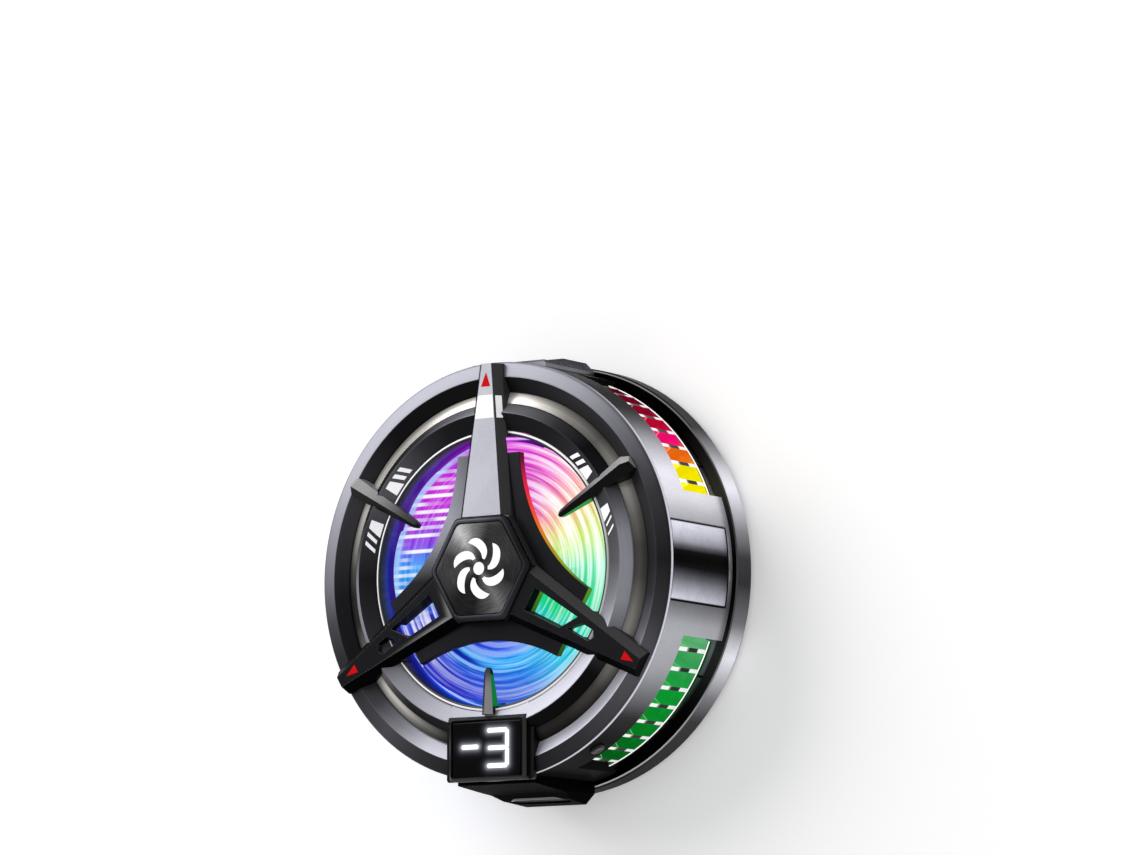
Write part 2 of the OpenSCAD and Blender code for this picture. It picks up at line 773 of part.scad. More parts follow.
module blade() {
    n = blade_columns + 1;
    m = (blade_rows + 1) * n;
    points = [for (side = [1, -1], i = [0 : blade_rows], j = [0 : blade_columns])
        blade_point(i / blade_rows, j / blade_columns, side)];
    top = [for (i = [0 : blade_rows - 1], j = [0 : blade_columns - 1]) let (a = i * n + j)
        each [[a, a + 1, a + n], [a + 1, a + n + 1, a + n]]];
    bottom = [for (f = top) [f[0] + m, f[2] + m, f[1] + m]];
    rim = concat([for (j = [0 : blade_columns]) j], [for (i = [1 : blade_rows]) i * n + blade_columns],
        [for (j = [1 : blade_columns]) m - 1 - j], [for (i = [1 : blade_rows - 1]) m - n - i * n]);
    walls = [for (k = [0 : len(rim) - 1]) let (a = rim[k], b = rim[(k + 1) % len(rim)])
        each [[a, a + m, b], [b, a + m, b + m]]];
    polyhedron(points, concat(top, bottom, walls));
}

module fan_rotor() {
    color("#c6c9f5") difference() {
        union() {
            post(rotor_hub_r, rotor_z, rotor_top);
            for (i = [0 : blade_count - 1]) rotate([0, 0, i * 360 / blade_count]) blade();
        }
        post(yoke_r + run, rotor_z - past, cap_z);
        post(shaft_r, rotor_z, rotor_top + past);
    }
}

module rotor_yoke() {
    color("#85888f") difference() {
        post(yoke_r, rotor_z, cap_z - seat);
        post(magnet_r, rotor_z - past, cap_z - seat - yoke_t);
        post(shaft_r + slip, rotor_z, rotor_top + past);
    }
}

module rotor_magnet() {
    color("#3f4146") tube(magnet_r - seat, magnet_r - rotor_magnet_t, rotor_z + slip, coil_top);
}

module rotor_shaft() {
    color("#d5d7db") post(shaft_r, bearing_z + slip, rotor_top);
}

module led_board() {
    color("#20232b") union() {
        tube(led_board_out, led_board_in, led_z - board_t, led_z);
        rotate([0, 0, button_angle]) translate([led_board_out - 1, -switch_w / 2, led_z - board_t])
            cube([switch_back + switch_l - led_board_out + 1, switch_w, board_t]);
    }
}

module leds() {
    color("white") for (i = [0 : led_count - 1]) at_polar(led_r, (i + 0.5) * 360 / led_count)
        translate([-led_side / 2, -led_side / 2, led_z]) cube([led_side, led_side, led_h]);
}

module light_ring() {
    color("#f2f4f8") tube(light_r, mouth_r, frame_z, funnel_z - seat);
}

module front_bezel() {
    lip_r = frame_r - rim_w - slip;
    color("#3a3b41") difference() {
        lathe([[light_r + slip, under_z], [lip_r - lip_w, under_z], [lip_r - lip_w, under_z - lip_h],
            [lip_r, under_z - lip_h], [lip_r, under_z], [barrel_in_r - slip, under_z],
            [barrel_in_r - slip, seat_z], [barrel_r, seat_z], [barrel_r, edge_z - edge_bevel],
            [barrel_r - edge_bevel, edge_z], [ridge_r, ridge_z], [trim_out_r + slip, valley_z + slip],
            [trim_out_r + slip, ledge_z], [light_r + slip, ledge_z]]);
        for (angle = arm_angles) at_polar(guard_screw_r, angle) {
            post(screw_r + slip, under_z - 2 * lip_h, peak_z);
            post(screw_head_r + slip, under_z - 2 * lip_h, under_z + guard_head_t);
        }
        rotate([0, 0, button_angle]) translate([lip_r - 2 * lip_w, -switch_w, under_z - 2 * lip_h])
            cube([3 * lip_w, 2 * switch_w, 2 * lip_h]);
    }
}

module silver_trim() {
    color("#d7d6d2") lathe([[trim_in_r + seat, ledge_z], [trim_out_r, ledge_z], [trim_out_r, valley_z],
        [trim_in_r + seat, trim_z]]);
}

// The inner ring is notched where the display's box stands in it
module inner_ring() {
    color("#303136") difference() {
        lathe([[light_r + slip, ledge_z], [trim_in_r, ledge_z], [trim_in_r, trim_z], [peak_r, peak_z],
            [light_r + slip, funnel_z]]);
        display_block(slip, ledge_z - past, display_z + past);
    }
}

// Plan of the winged plate: a disc cut by three arcs and squared off at the wing tips
module wing_plan() {
    difference() {
        intersection() {
            circle(r = wing_reach + wing_half_w);
            union() for (angle = arm_angles) rotate(angle)
                polygon([[-wing_waist, 0], [0, -wing_waist], [wing_reach, -wing_flare],
                    [wing_reach, wing_flare], [0, wing_waist]]);
        }
        for (angle = guide_angles) rotate(angle) translate([wing_edge_at, 0]) circle(r = wing_edge_r);
    }
}

// Windows of the lower arms: a long one by the hub and a short one beyond a slanted bar
module arm_windows() {
    slant = 0.9;
    bar = 0.55;
    taper = 0.06;
    half_at_bar = window_half - taper * (window_bar - window_in);
    half_out = window_half - taper * (window_out - window_in) - 0.2;
    for (angle = [arm_angles[1], arm_angles[2]]) rotate(angle) mirror([0, angle == arm_angles[1] ? 1 : 0]) {
        polygon([[window_in, -window_half], [window_bar - slant - bar, -half_at_bar],
            [window_bar + slant - bar, half_at_bar], [window_in, window_half]]);
        polygon([[window_bar - slant + bar, -half_out], [window_out - 0.5, -half_out], [window_out, 0],
            [window_out - 0.5, half_out], [window_bar + slant + bar, half_out]]);
    }
}

module guard_plate() {
    color("#1a1b1f") difference() {
        translate([0, 0, plate_low]) linear_extrude(plate_t) difference() {
            wing_plan();
            arm_windows();
        }
        post(hub_screw_r + slip, plate_low - past, plate_z + past);
        post(hub_head_r + slip, plate_low - past, plate_low + hub_head_t);
    }
}

// Section across an arm at a distance from the middle: face, two chamfers and two upright walls
module arm_section(along, face_w, face_z) {
    half = face_w / 2;
    slice = 0.02;
    low = ledge_z;
    translate([along, 0, 0]) rotate([90, 0, 90]) linear_extrude(slice) polygon([[-half - chamfer_w, low],
        [half + chamfer_w, low], [half + chamfer_w, face_z - chamfer_drop], [half, face_z], [-half, face_z],
        [-half - chamfer_w, face_z - chamfer_drop]]);
}

module star_arms() {
    hub_start = hub_af / 2 - join;
    color("#232428") difference() {
        union() {
            for (angle = arm_angles) rotate([0, 0, angle]) hull() {
                arm_section(hub_start, arm_hub_w, seat_z + arm_hub_h);
                arm_section(arm_reach, arm_tip_w, seat_z + arm_tip_h);
            }
            post_hex(hub_af / 2, plate_z, hub_seat_z);
        }
        post(wing_reach + wing_half_w / 2, 0, plate_z + seat);
        ring_faces(seat);
        translate([0, 0, plate_z - past]) linear_extrude(seat_z) arm_windows();
        post_hex(hub_af / 2 + slip, hub_seat_z, hub_z + past);
        post(hub_screw_r, 0, hub_seat_z - hub_skin);
        for (angle = arm_angles) at_polar(guard_screw_r, angle)
            post(screw_r, 0, ridge_z + guard_screw_tip + 2 * slip);
    }
}

// Six-sided prism with flats towards 12 and 6 o'clock, by its half size across flats
module post_hex(half_flat, z_low, z_high) {
    translate([0, 0, z_low]) cylinder(r = half_flat / cos(30), h = z_high - z_low, $fn = 6);
}

module hub_cap() {
    bevel = 0.35;
    color("#34353a") difference() {
        union() {
            post_hex(hub_af / 2, hub_seat_z + seat, hub_z - bevel);
            translate([0, 0, hub_z - bevel]) cylinder(r1 = hub_af / 2 / cos(30),
                r2 = (hub_af / 2 - bevel) / cos(30), h = bevel, $fn = 6);
        }
        post_hex(hub_af / 2 - hub_rim, hub_z - hub_recess, hub_z + past);
    }
}

module hub_face() {
    face_t = 0.2;
    color("#46474d") post_hex(hub_af / 2 - hub_rim - seat, hub_z - hub_recess, hub_z - hub_recess + face_t);
}

// Gabled blade: high and wide on the ring, narrow and low at its inner tip
module guide_section(along, w, z_low, z_ridge) {
    slice = 0.02;
    shoulder = 0.45;
    translate([along, 0, 0]) rotate([90, 0, 90]) linear_extrude(slice)
        polygon([[-w / 2, z_low], [w / 2, z_low], [w / 2, z_ridge - shoulder * w], [0, z_ridge],
            [-w / 2, z_ridge - shoulder * w]]);
}

module guide_fins() {
    tip_w = 0.9;
    tip_h = 1;
    tip_low = plate_low + 0.7;
    heel_w = 0.7 * guide_w;
    heel_l = 0.9;
    heel_h = 0.95;
    foot_z = ledge_z;
    color("#2a2b30") difference() {
        for (angle = guide_angles) rotate([0, 0, angle]) hull() {
            guide_section(guide_in_r, tip_w, tip_low, tip_low + tip_h);
            guide_section(ridge_r - heel_l, guide_w, foot_z, peak_z + heel_h);
            guide_section(ridge_r, heel_w, foot_z, peak_z);
        }
        ring_faces(seat);
        display_block(2 * slip, ledge_z - past, display_z + past);
    }
}

module display_block(gap, z_low, z_high) {
    translate([-display_w / 2 - gap, -display_low - gap, z_low])
        cube([display_w + 2 * gap, display_l + 2 * gap, z_high - z_low]);
}

// Box with bevelled edges that fills the notch in the inner ring, on a wider step over the outer rings
module display_housing() {
    high = -display_high;
    bevel = display_bevel * sqrt(2);
    color("#1b1c20") difference() {
        union() {
            difference() {
                display_block(0, ledge_z + seat, display_z);
                for (side = [-1, 1]) translate([side * display_w / 2, 0, display_z]) rotate([0, 45, 0])
                    cube([bevel, 3 * display_low, bevel], center = true);
                for (y = [high, -display_low]) translate([0, y, display_z]) rotate([45, 0, 0])
                    cube([2 * display_w, bevel, bevel], center = true);
                outer_faces(seat);
            }
            difference() {
                translate([-display_w / 2 - display_step, -display_low, ledge_z])
                    cube([display_w + 2 * display_step, display_l - step_back, step_z - ledge_z]);
                ring_faces(seat);
            }
        }
        translate([0, display_y, lens_z + past / 2]) cube([lens_w, lens_l, past], center = true);
        translate([0, display_y, lens_z - module_t + past])
            cube([lens_w - 2 * display_frame, lens_l - 2 * display_frame, 2 * past], center = true);
    }
}

module display_lens() {
    color("#050506") translate([0, display_y, lens_z + lens_t / 2])
        cube([lens_w - slip, lens_l - slip, lens_t - seat], center = true);
}

module display_module() {
    color("#1a1a1a") translate([0, display_y, lens_z - module_t / 4])
        cube([lens_w - 2 * display_frame - slip, lens_l - 2 * display_frame - slip, module_t / 2 - seat],
            center = true);
}

module base_screws() {
    color("#55575c") at_base_screws() {
        post(screw_head_r, floor_z + seat, floor_z + screw_head_t - seat);
        post(screw_r, floor_z + seat, flange_z + screw_depth);
    }
}

module guard_screws() {
    color("#55575c") for (angle = arm_angles) at_polar(guard_screw_r, angle) {
        post(screw_head_r, under_z, under_z + guard_head_t - seat);
        post(screw_r - seat, under_z, ridge_z + guard_screw_tip);
    }
}

module hub_screw() {
    color("#55575c") union() {
        post(hub_head_r, plate_low, plate_low + hub_head_t - seat);
        post(hub_screw_r - seat, plate_low, hub_seat_z - hub_skin - 2 * slip);
    }
}

base_shell();
contact_pad();
cold_plate();
magnets();
peltier_module();
peltier_leads();
foam_gasket();
temperature_sensor();
main_board();
usb_shell();
usb_tongue();
heat_sink();
sink_fins();
barrel();
side_panel_right();
side_panel_left();
top_bracket();
bottom_bracket();
mode_button();
button_switch();
fan_frame();
bearing_sleeve();
stator_core();
stator_coils();
fan_rotor();
rotor_yoke();
rotor_magnet();
rotor_shaft();
led_board();
leds();
light_ring();
front_bezel();
silver_trim();
inner_ring();
guard_plate();
star_arms();
hub_cap();
hub_face();
guide_fins();
display_housing();
display_lens();
display_module();
base_screws();
guard_screws();
hub_screw();
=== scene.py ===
# Clip-on cooling fan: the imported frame, dressed with numpy surfaces and node finishes
import math

import bmesh
import bpy
import numpy as np
from mathutils import Matrix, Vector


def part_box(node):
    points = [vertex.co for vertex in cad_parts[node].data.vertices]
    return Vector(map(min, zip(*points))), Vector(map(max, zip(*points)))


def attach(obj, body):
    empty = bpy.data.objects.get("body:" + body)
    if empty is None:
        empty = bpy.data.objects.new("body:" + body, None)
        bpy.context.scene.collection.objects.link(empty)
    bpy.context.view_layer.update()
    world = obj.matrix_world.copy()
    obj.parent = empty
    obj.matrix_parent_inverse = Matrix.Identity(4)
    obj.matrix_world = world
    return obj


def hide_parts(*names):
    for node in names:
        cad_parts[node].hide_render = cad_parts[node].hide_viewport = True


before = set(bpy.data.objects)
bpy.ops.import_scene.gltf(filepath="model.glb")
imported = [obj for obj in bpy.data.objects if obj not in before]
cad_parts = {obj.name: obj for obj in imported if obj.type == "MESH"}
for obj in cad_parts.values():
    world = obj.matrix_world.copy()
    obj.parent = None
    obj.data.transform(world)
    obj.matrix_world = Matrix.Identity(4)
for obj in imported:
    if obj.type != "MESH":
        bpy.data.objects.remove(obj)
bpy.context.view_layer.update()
scene = bpy.context.scene
millimetre = 0.001
print("frame loaded with", len(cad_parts), "nodes")

# Camera fitted to the photograph: axes and place in the part's frame, lens for a 36 mm wide sensor
cameraSet = {
    "right": (0.83234, 0.0, -0.55426),
    "up": (0.07282, 0.99133, 0.10935),
    "back": (0.54946, -0.13137, 0.82513),
    "place": (0.454815, -0.087524, 0.683736),
    "lens": 192.47,
}
cameraData = bpy.data.cameras.new("photoCamera")
cameraData.lens = cameraSet["lens"]
cameraData.sensor_width = 36
cameraData.clip_start, cameraData.clip_end = 0.01, 20
camera = bpy.data.objects.new("photoCamera", cameraData)
scene.collection.objects.link(camera)
axes = Matrix((cameraSet["right"], cameraSet["up"], cameraSet["back"])).transposed()
camera.matrix_world = Matrix.Translation(cameraSet["place"]) @ axes.to_4x4()
scene.camera = camera
scene.view_settings.view_transform = "Standard"
print("camera set")


# Quads of a grid: corner (i, j) joins (i, j + 1), (i + 1, j + 1) and (i + 1, j), round the ends where asked
def gridFaces(rows, columns, wrapRows=False, wrapColumns=False):
    i = np.arange(rows if wrapRows else rows - 1)[:, None]
    j = np.arange(columns if wrapColumns else columns - 1)[None, :]
    iNext, jNext = (i + 1) % rows, (j + 1) % columns
    corners = np.broadcast_arrays(i * columns + j, i * columns + jNext, iNext * columns + jNext,
                                  iNext * columns + j)
    return np.stack(corners, -1).reshape(-1, 4).tolist()


# Skin over closed loops laid one after another: both ends capped, or the last loop joined to the first
def loft(loops, ring=False):
    rows, around = loops.shape[:2]
    faces = gridFaces(rows, around, ring, True)
    if not ring:
        faces += [list(range(around))[::-1], list(range((rows - 1) * around, rows * around))]
    return loops.reshape(-1, 3), faces


def joined(shapes):
    starts = np.cumsum([0] + [len(points) for points, faces in shapes])
    faces = [[corner + start for corner in face]
             for (points, some), start in zip(shapes, starts) for face in some]
    return np.concatenate([points for points, faces in shapes]), faces


# Points turned about the fan's axis
def turned(points, degrees):
    c, s = math.cos(math.radians(degrees)), math.sin(math.radians(degrees))
    return points @ np.array([[c, s, 0], [-s, c, 0], [0, 0, 1]])


def turnedShape(shape, degrees):
    return turned(shape[0], degrees), shape[1]


# A shape repeated evenly round the axis
def ringOf(shape, count):
    return [turnedShape(shape, i * 360 / count) for i in range(count)]


# Points given by radius, angle and height
def polar(radius, angle, height):
    return np.stack(np.broadcast_arrays(radius * np.cos(angle), radius * np.sin(angle), height), -1)


# A flat outline laid at a height
def atHeight(flat, height):
    return np.column_stack([flat, np.full(len(flat), height)])


# Outline with its corners eased: each corner becomes a parabola that starts and ends at reach from it
def rounded(corners, reach, closed=True, steps=5):
    here = np.asarray(corners, float)
    before, after = np.roll(here, 1, 0) - here, np.roll(here, -1, 0) - here
    lengths = [np.linalg.norm(side, axis=1)[:, None] for side in (before, after)]
    ease = np.broadcast_to(np.asarray(reach, float), (len(here),))[:, None].copy()
    if not closed:
        ease[[0, -1]] = 0
    start, end = (here + side / size * np.minimum(ease, 0.4 * size)
                  for side, size in zip((before, after), lengths))
    t = np.linspace(0, 1, steps)[None, :, None]
    curve = (1 - t) ** 2 * start[:, None] + 2 * t * (1 - t) * here[:, None] + t ** 2 * end[:, None]
    return curve.reshape(-1, here.shape[1])


# Surface of revolution: a closed (radius, height) outline carried round the axis
def lathe(profile, count=240):
    angle = np.linspace(0, 2 * np.pi, count, endpoint=False)[:, None]
    return loft(polar(profile[None, :, 0], angle, profile[None, :, 1]), ring=True)


# Closed thin plate: a grid of top points and the same grid set back by the drop
def slab(top, drop):
    return loft(np.concatenate([top, (top - np.asarray(drop))[:, ::-1]], 1))


# Four corners spread to a grid: across u from a to b and from d to c, along v between those edges
def patch(a, b, c, d, rows=2, columns=2):
    v = np.linspace(0, 1, rows)[:, None, None]
    u = np.linspace(0, 1, columns)[None, :, None]
    a, b, c, d = (np.asarray(corner, float) for corner in (a, b, c, d))
    return (1 - v) * ((1 - u) * a + u * b) + v * ((1 - u) * d + u * c)


def linked(name, data):
    item = bpy.data.objects.new(name, data)
    scene.collection.objects.link(item)
    return item


# Vertices of a piece in millimetres
def vertexSpots(piece):
    spots = np.zeros(len(piece.data.vertices) * 3, np.float32)
    piece.data.vertices.foreach_get("co", spots)
    return spots.reshape(-1, 3) / millimetre


def placePiece(piece, material, body, stands):
    piece.data.materials.clear()
    piece.data.materials.append(material)
    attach(piece, body)
    if stands:
        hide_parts(*stands)
    return piece


def softenEdges(piece, width, sharp, segments=2):
    bevel = piece.modifiers.new("edges", "BEVEL")
    bevel.width = width * millimetre
    bevel.segments = segments
    bevel.limit_method = "ANGLE"
    bevel.angle_limit = math.radians(sharp)
    bevel.harden_normals = True


# Points merge under these distances in metres, in new shapes and in nodes; flat is in degrees
mergeSet = {"new": 2e-7, "sliver": 1e-8, "node": 1e-6, "flat": 0.5}


# A mesh under way becomes an object: normals outwards, smooth but for its sharp edges
def meshObject(name, mesh, build, sharp):
    bmesh.ops.recalc_face_normals(build, faces=build.faces)
    build.to_mesh(mesh)
    build.free()
    mesh.shade_smooth()
    mesh.set_sharp_from_angle(angle=math.radians(sharp))
    return linked(name, mesh)


# A numpy shape becomes a piece, its double points merged
def addPiece(name, shape, material, body="housing", stands=(), edge=0, sharp=35):
    points, faces = shape
    mesh = bpy.data.meshes.new(name)
    mesh.from_pydata((points * millimetre).tolist(), [], faces)
    build = bmesh.new()
    build.from_mesh(mesh)
    bmesh.ops.remove_doubles(build, verts=build.verts, dist=mergeSet["new"])
    bmesh.ops.dissolve_degenerate(build, dist=mergeSet["sliver"], edges=build.edges)
    piece = meshObject(name, mesh, build, sharp)
    if edge:
        softenEdges(piece, edge, sharp)
    return placePiece(piece, material, body, stands)


# Upright edges beyond the corners' limits are rounded by their reach
def roundCorners(build, corners):
    front, back = (y * millimetre for y in corners["y"])
    aside, above, tall = (corners[key] * millimetre for key in ("x", "z", "tall"))
    outer = {v for v in build.verts if abs(v.co.x) > aside and not back < v.co.y < front and v.co.z > above}
    edges = [e for e in build.edges
             if set(e.verts) <= outer and abs(e.verts[0].co.z - e.verts[1].co.z) > tall]
    bmesh.ops.bevel(build, geom=edges, offset=corners["reach"] * millimetre, segments=4, profile=0.5,
                    affect="EDGES", clamp_overlap=True)


# A rigid node again, its triangles merged to whole faces and its edges eased
def easedCopy(node, name, material, edge, body="housing", sharp=28, corners=None):
    build = bmesh.new()
    build.from_mesh(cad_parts[node].data)
    bmesh.ops.remove_doubles(build, verts=build.verts, dist=mergeSet["node"])
    flat = math.radians(mergeSet["flat"])
    bmesh.ops.dissolve_limit(build, angle_limit=flat, verts=build.verts, edges=build.edges)
    if corners:
        roundCorners(build, corners)
    piece = meshObject(name, bpy.data.meshes.new(name), build, sharp)
    softenEdges(piece, edge, sharp)
    return placePiece(piece, material, body, [node])


# Linear colour of a six-digit screen colour
def tone(text, alpha=1.0):
    screen = np.array([int(text[i:i + 2], 16) for i in (0, 2, 4)]) / 255
    linear = np.where(screen <= 0.04045, screen / 12.92, ((screen + 0.055) / 1.055) ** 2.4)
    return (*linear.tolist(), alpha)


def addNode(tree, kind, inputs=None, **settings):
    node = tree.nodes.new("ShaderNode" + kind)
    for key, value in settings.items():
        setattr(node, key, value)
    for key, value in (inputs or {}).items():
        if isinstance(value, bpy.types.NodeSocket):
            tree.links.new(value, node.inputs[key])
        else:
            node.inputs[key].default_value = value
    return node


def calc(tree, operation, first, second=0.0, third=0.0):
    return addNode(tree, "Math", {0: first, 1: second, 2: third}, operation=operation).outputs[0]


def times(tree, first, second):
    return calc(tree, "MULTIPLY", first, second)


# A value taken from one range to another and held at its ends
def spread(tree, value, low, high, newLow=0.0, newHigh=1.0):
    inputs = {"Value": value, "From Min": low, "From Max": high, "To Min": newLow, "To Max": newHigh}
    return addNode(tree, "MapRange", inputs, interpolation_type="SMOOTHSTEP").outputs[0]


# 0 below a limit, 1 above it
def stepAt(tree, value, limit, soft=0.04):
    return spread(tree, value, limit - soft, limit + soft)


def blendTones(tree, share, first, second, blend="MIX"):
    node = addNode(tree, "Mix", {0: share, 6: first, 7: second}, data_type="RGBA", blend_type=blend)
    return node.outputs[2]


def tintTone(tree, colour, tint):
    return blendTones(tree, 1.0, colour, tint, "MULTIPLY")


# A colour made lighter or darker by a factor
def scaleTone(tree, colour, factor):
    same = addNode(tree, "CombineColor", {0: factor, 1: factor, 2: factor}).outputs[0]
    return tintTone(tree, colour, same)


# Colours along a value from 0 to 1, given as (place, colour)
def ramp(tree, value, stops, interpolation="LINEAR"):
    node = addNode(tree, "ValToRGB", {0: value})
    node.color_ramp.interpolation = interpolation
    while len(node.color_ramp.elements) < len(stops):
        node.color_ramp.elements.new(0.5)
    for element, (place, colour) in zip(node.color_ramp.elements, stops):
        element.position = place
        element.color = colour
    return node.outputs[0]


# Colours along part of a value's range, each given at a place in the value's own unit
def spanTones(tree, value, span, stops):
    low, high = span
    places = [((place - low) / (high - low), tone(colour)) for place, colour in stops]
    return ramp(tree, spread(tree, value, low, high), places)


# Object coordinates in millimetres
def inMillimetres(tree):
    spot = addNode(tree, "TexCoord").outputs["Object"]
    return addNode(tree, "VectorMath", {0: spot, "Scale": 1000.0}, operation="SCALE").outputs[0]


def splitAxes(tree, vector):
    return addNode(tree, "SeparateXYZ", {0: vector}).outputs[:3]


def joinAxes(tree, x, y, z=0.0):
    return addNode(tree, "CombineXYZ", {0: x, 1: y, 2: z}).outputs[0]


# Which way the skin faces
def skinAxes(tree):
    return splitAxes(tree, addNode(tree, "TexCoord").outputs["Normal"])


# Distance from the fan's axis, and the turn round it from 0 at +X to 1
def roundAxis(tree, vector):
    x, y, z = splitAxes(tree, vector)
    radius = calc(tree, "SQRT", calc(tree, "MULTIPLY_ADD", x, x, times(tree, y, y)))
    turn = calc(tree, "FRACT", calc(tree, "MULTIPLY_ADD", calc(tree, "ARCTAN2", y, x), 0.5 / math.pi, 1.0))
    return radius, turn, z


# How far the skin faces away from the axis, 1 where it faces straight out
def facingOut(tree, spot, radius):
    x, y, z = splitAxes(tree, spot)
    nx, ny, nz = skinAxes(tree)
    return calc(tree, "DIVIDE", calc(tree, "MULTIPLY_ADD", nx, x, times(tree, ny, y)), radius)


def noise(tree, vector, scale, detail=3.0, rough=0.55):
    inputs = {"Vector": vector, "Scale": scale, "Detail": detail, "Roughness": rough}
    return addNode(tree, "TexNoise", inputs).outputs[0]


# Hair-fine lines of a lathe, along the radius and height with a slow drift round the axis
def turningLines(tree, radius, turn, z, lines):
    return noise(tree, joinAxes(tree, radius, z, times(tree, turn, 0.6)), lines, 3, 0.7)


def startFinish(name, **sockets):
    material = bpy.data.materials.new(name)
    material.use_nodes = True
    tree = material.node_tree
    shader = tree.nodes["Principled BSDF"]
    for key, value in sockets.items():
        shader.inputs[key.replace("_", " ")].default_value = value
    return material, tree, shader


def reopened(material):
    tree = material.node_tree
    return tree, tree.nodes["Principled BSDF"]


def feed(tree, shader, **sockets):
    for key, value in sockets.items():
        tree.links.new(value, shader.inputs[key.replace("_", " ")])


def bump(tree, shader, height, depth, strength=1.0):
    node = addNode(tree, "Bump", {"Height": height, "Distance": depth * millimetre, "Strength": strength})
    tree.links.new(node.outputs[0], shader.inputs["Normal"])


# Satin moulding or coat: two tones in slow drifts, fine grain in its gloss and skin, painted light
# and shade round the axis where given, and a share of its own colour as glow, painted light that keeps it
# bright
def satinFinish(name, dark, light, rough, metal=0.0, grain=0.004, turnTones=None, glow=0.0, **sockets):
    material, tree, shader = startFinish(name, Metallic=metal, Emission_Strength=glow, **sockets)
    spot = inMillimetres(tree)
    drift = spread(tree, noise(tree, spot, 0.14, 4), 0.35, 0.65)
    fine = noise(tree, spot, 7.0, 2)
    colour = blendTones(tree, drift, tone(dark), tone(light))
    # Tones round the axis: painted light and shade
    if turnTones:
        radius, turn, z = roundAxis(tree, spot)
        colour = tintTone(tree, colour, tonesRound(tree, turn, turnTones))
    colour = scaleTone(tree, colour, spread(tree, fine, 0.3, 0.7, 0.92, 1.06))
    feed(tree, shader, Base_Color=colour)
    # Glow: painted light in the coat's own colour
    if glow:
        feed(tree, shader, Emission_Color=colour)
    feed(tree, shader, Roughness=calc(tree, "MULTIPLY_ADD", fine, 0.12, rough - 0.06))
    bump(tree, shader, fine, grain)
    return material


# Metal turned on a lathe: hair-fine lines that follow
# the radius and height, and drift slowly round the axis
def turnedFinish(name, dark, light, rough, lines=9.0, depth=0.003, metal=1.0, **sockets):
    material, tree, shader = startFinish(name, Metallic=metal, **sockets)
    spot = inMillimetres(tree)
    radius, turn, z = roundAxis(tree, spot)
    hair = turningLines(tree, radius, turn, z, lines)
    drift = noise(tree, spot, 0.11, 3)
    share = calc(tree, "ADD", times(tree, hair, 0.7), times(tree, drift, 0.3))
    feed(tree, shader, Base_Color=blendTones(tree, spread(tree, share, 0.3, 0.7), tone(dark), tone(light)))
    feed(tree, shader, Roughness=calc(tree, "MULTIPLY_ADD", hair, 0.16, rough - 0.08))
    bump(tree, shader, hair, depth)
    return material


# Metal ring with a painted sheen: painted light and shade round the axis for each band, given with the
# radius where it starts, from the inside out, a profile of painted highlight levels across the radius where
# given, and glow as painted light
def paintedSheenFinish(name, bands, rough, tint, metal=0.4, profile=None, glow=0.1):
    material, tree, shader = startFinish(name, Metallic=metal, Specular_IOR_Level=0.15,
                                         Specular_Tint=grey(0.3), Emission_Strength=glow)
    spot = inMillimetres(tree)
    radius, turn, z = roundAxis(tree, spot)
    colour = grey(0.0)
    # Each band's tones round the axis are painted light and shade
    for start, stops in bands:
        colour = blendTones(tree, stepAt(tree, radius, start), colour, tonesRound(tree, turn, stops))
    # The profile is a painted highlight across the radius
    if profile:
        first, last = profile[0][0], profile[-1][0]
        across = calc(tree, "DIVIDE", calc(tree, "SUBTRACT", radius, first), last - first)
        stops = [((r - first) / (last - first), grey(level)) for r, level in profile]
        colour = tintTone(tree, colour, ramp(tree, across, stops))
    hair = turningLines(tree, radius, turn, z, 7.0)
    colour = scaleTone(tree, colour, spread(tree, hair, 0.3, 0.7, 0.94, 1.05))
    colour = tintTone(tree, colour, tone(tint))
    feed(tree, shader, Base_Color=colour, Emission_Color=colour)
    feed(tree, shader, Roughness=calc(tree, "MULTIPLY_ADD", hair, 0.1, rough - 0.05))
    bump(tree, shader, hair, 0.001)
    return material


def grey(value):
    return (value, value, value, 1.0)


# Tones round the fan: degrees counter-clockwise from +X,
# each with a grey or a screen colour, closed over the start
def byDegrees(stops):
    places = sorted(stops)
    colours = [tone(stops[place]) if isinstance(stops[place], str) else grey(stops[place])
               for place in places]
    around = [places[-1] - 360, *places, places[0] + 360]
    closed = np.array([colours[-1], *colours, colours[0]])
    seam = tuple(np.interp(0, around, channel) for channel in closed.T)
    inside = [(place / 360, colour) for place, colour in zip(places, colours) if 0 < place < 360]
    return [(0.0, seam), *inside, (1.0, seam)]


def tonesRound(tree, turn, stops):
    return ramp(tree, turn, byDegrees(stops))


# Painted light and shade of the shells: how light each band of metal is painted, by degrees
ringTones = {
    "inside": {
        0: 0.03, 20: 0.05, 32: 0.04, 60: 0.04, 75: 0.02, 90: 0.008, 130: 0.01, 142: 0.03, 155: 0.06,
        166: 0.05, 185: 0.016, 208: 0.012, 222: 0.07, 233: 0.22, 245: 0.46, 270: 0.46, 300: 0.5, 318: 0.5,
        330: 0.4, 340: 0.16, 350: 0.05},
    "outside": {
        0: 0.014, 20: 0.045, 32: 0.1, 45: 0.17, 60: 0.27, 75: 0.34, 90: 0.36, 120: 0.37, 150: 0.36,
        170: 0.25, 180: 0.19, 192: 0.07, 203: 0.032, 215: 0.04, 230: 0.085, 245: 0.04, 260: 0.014,
        278: 0.012, 300: 0.04, 315: 0.08, 330: 0.13, 345: 0.045},
    # Edge: a painted highlight line on the bezel's rim
    "edge": {
        0: 0.85, 35: 0.85, 50: 0.5, 62: 0.3, 90: 0.1, 200: 0.05, 250: 0.05, 272: 0.5, 285: 0.9, 330: 0.95},
}
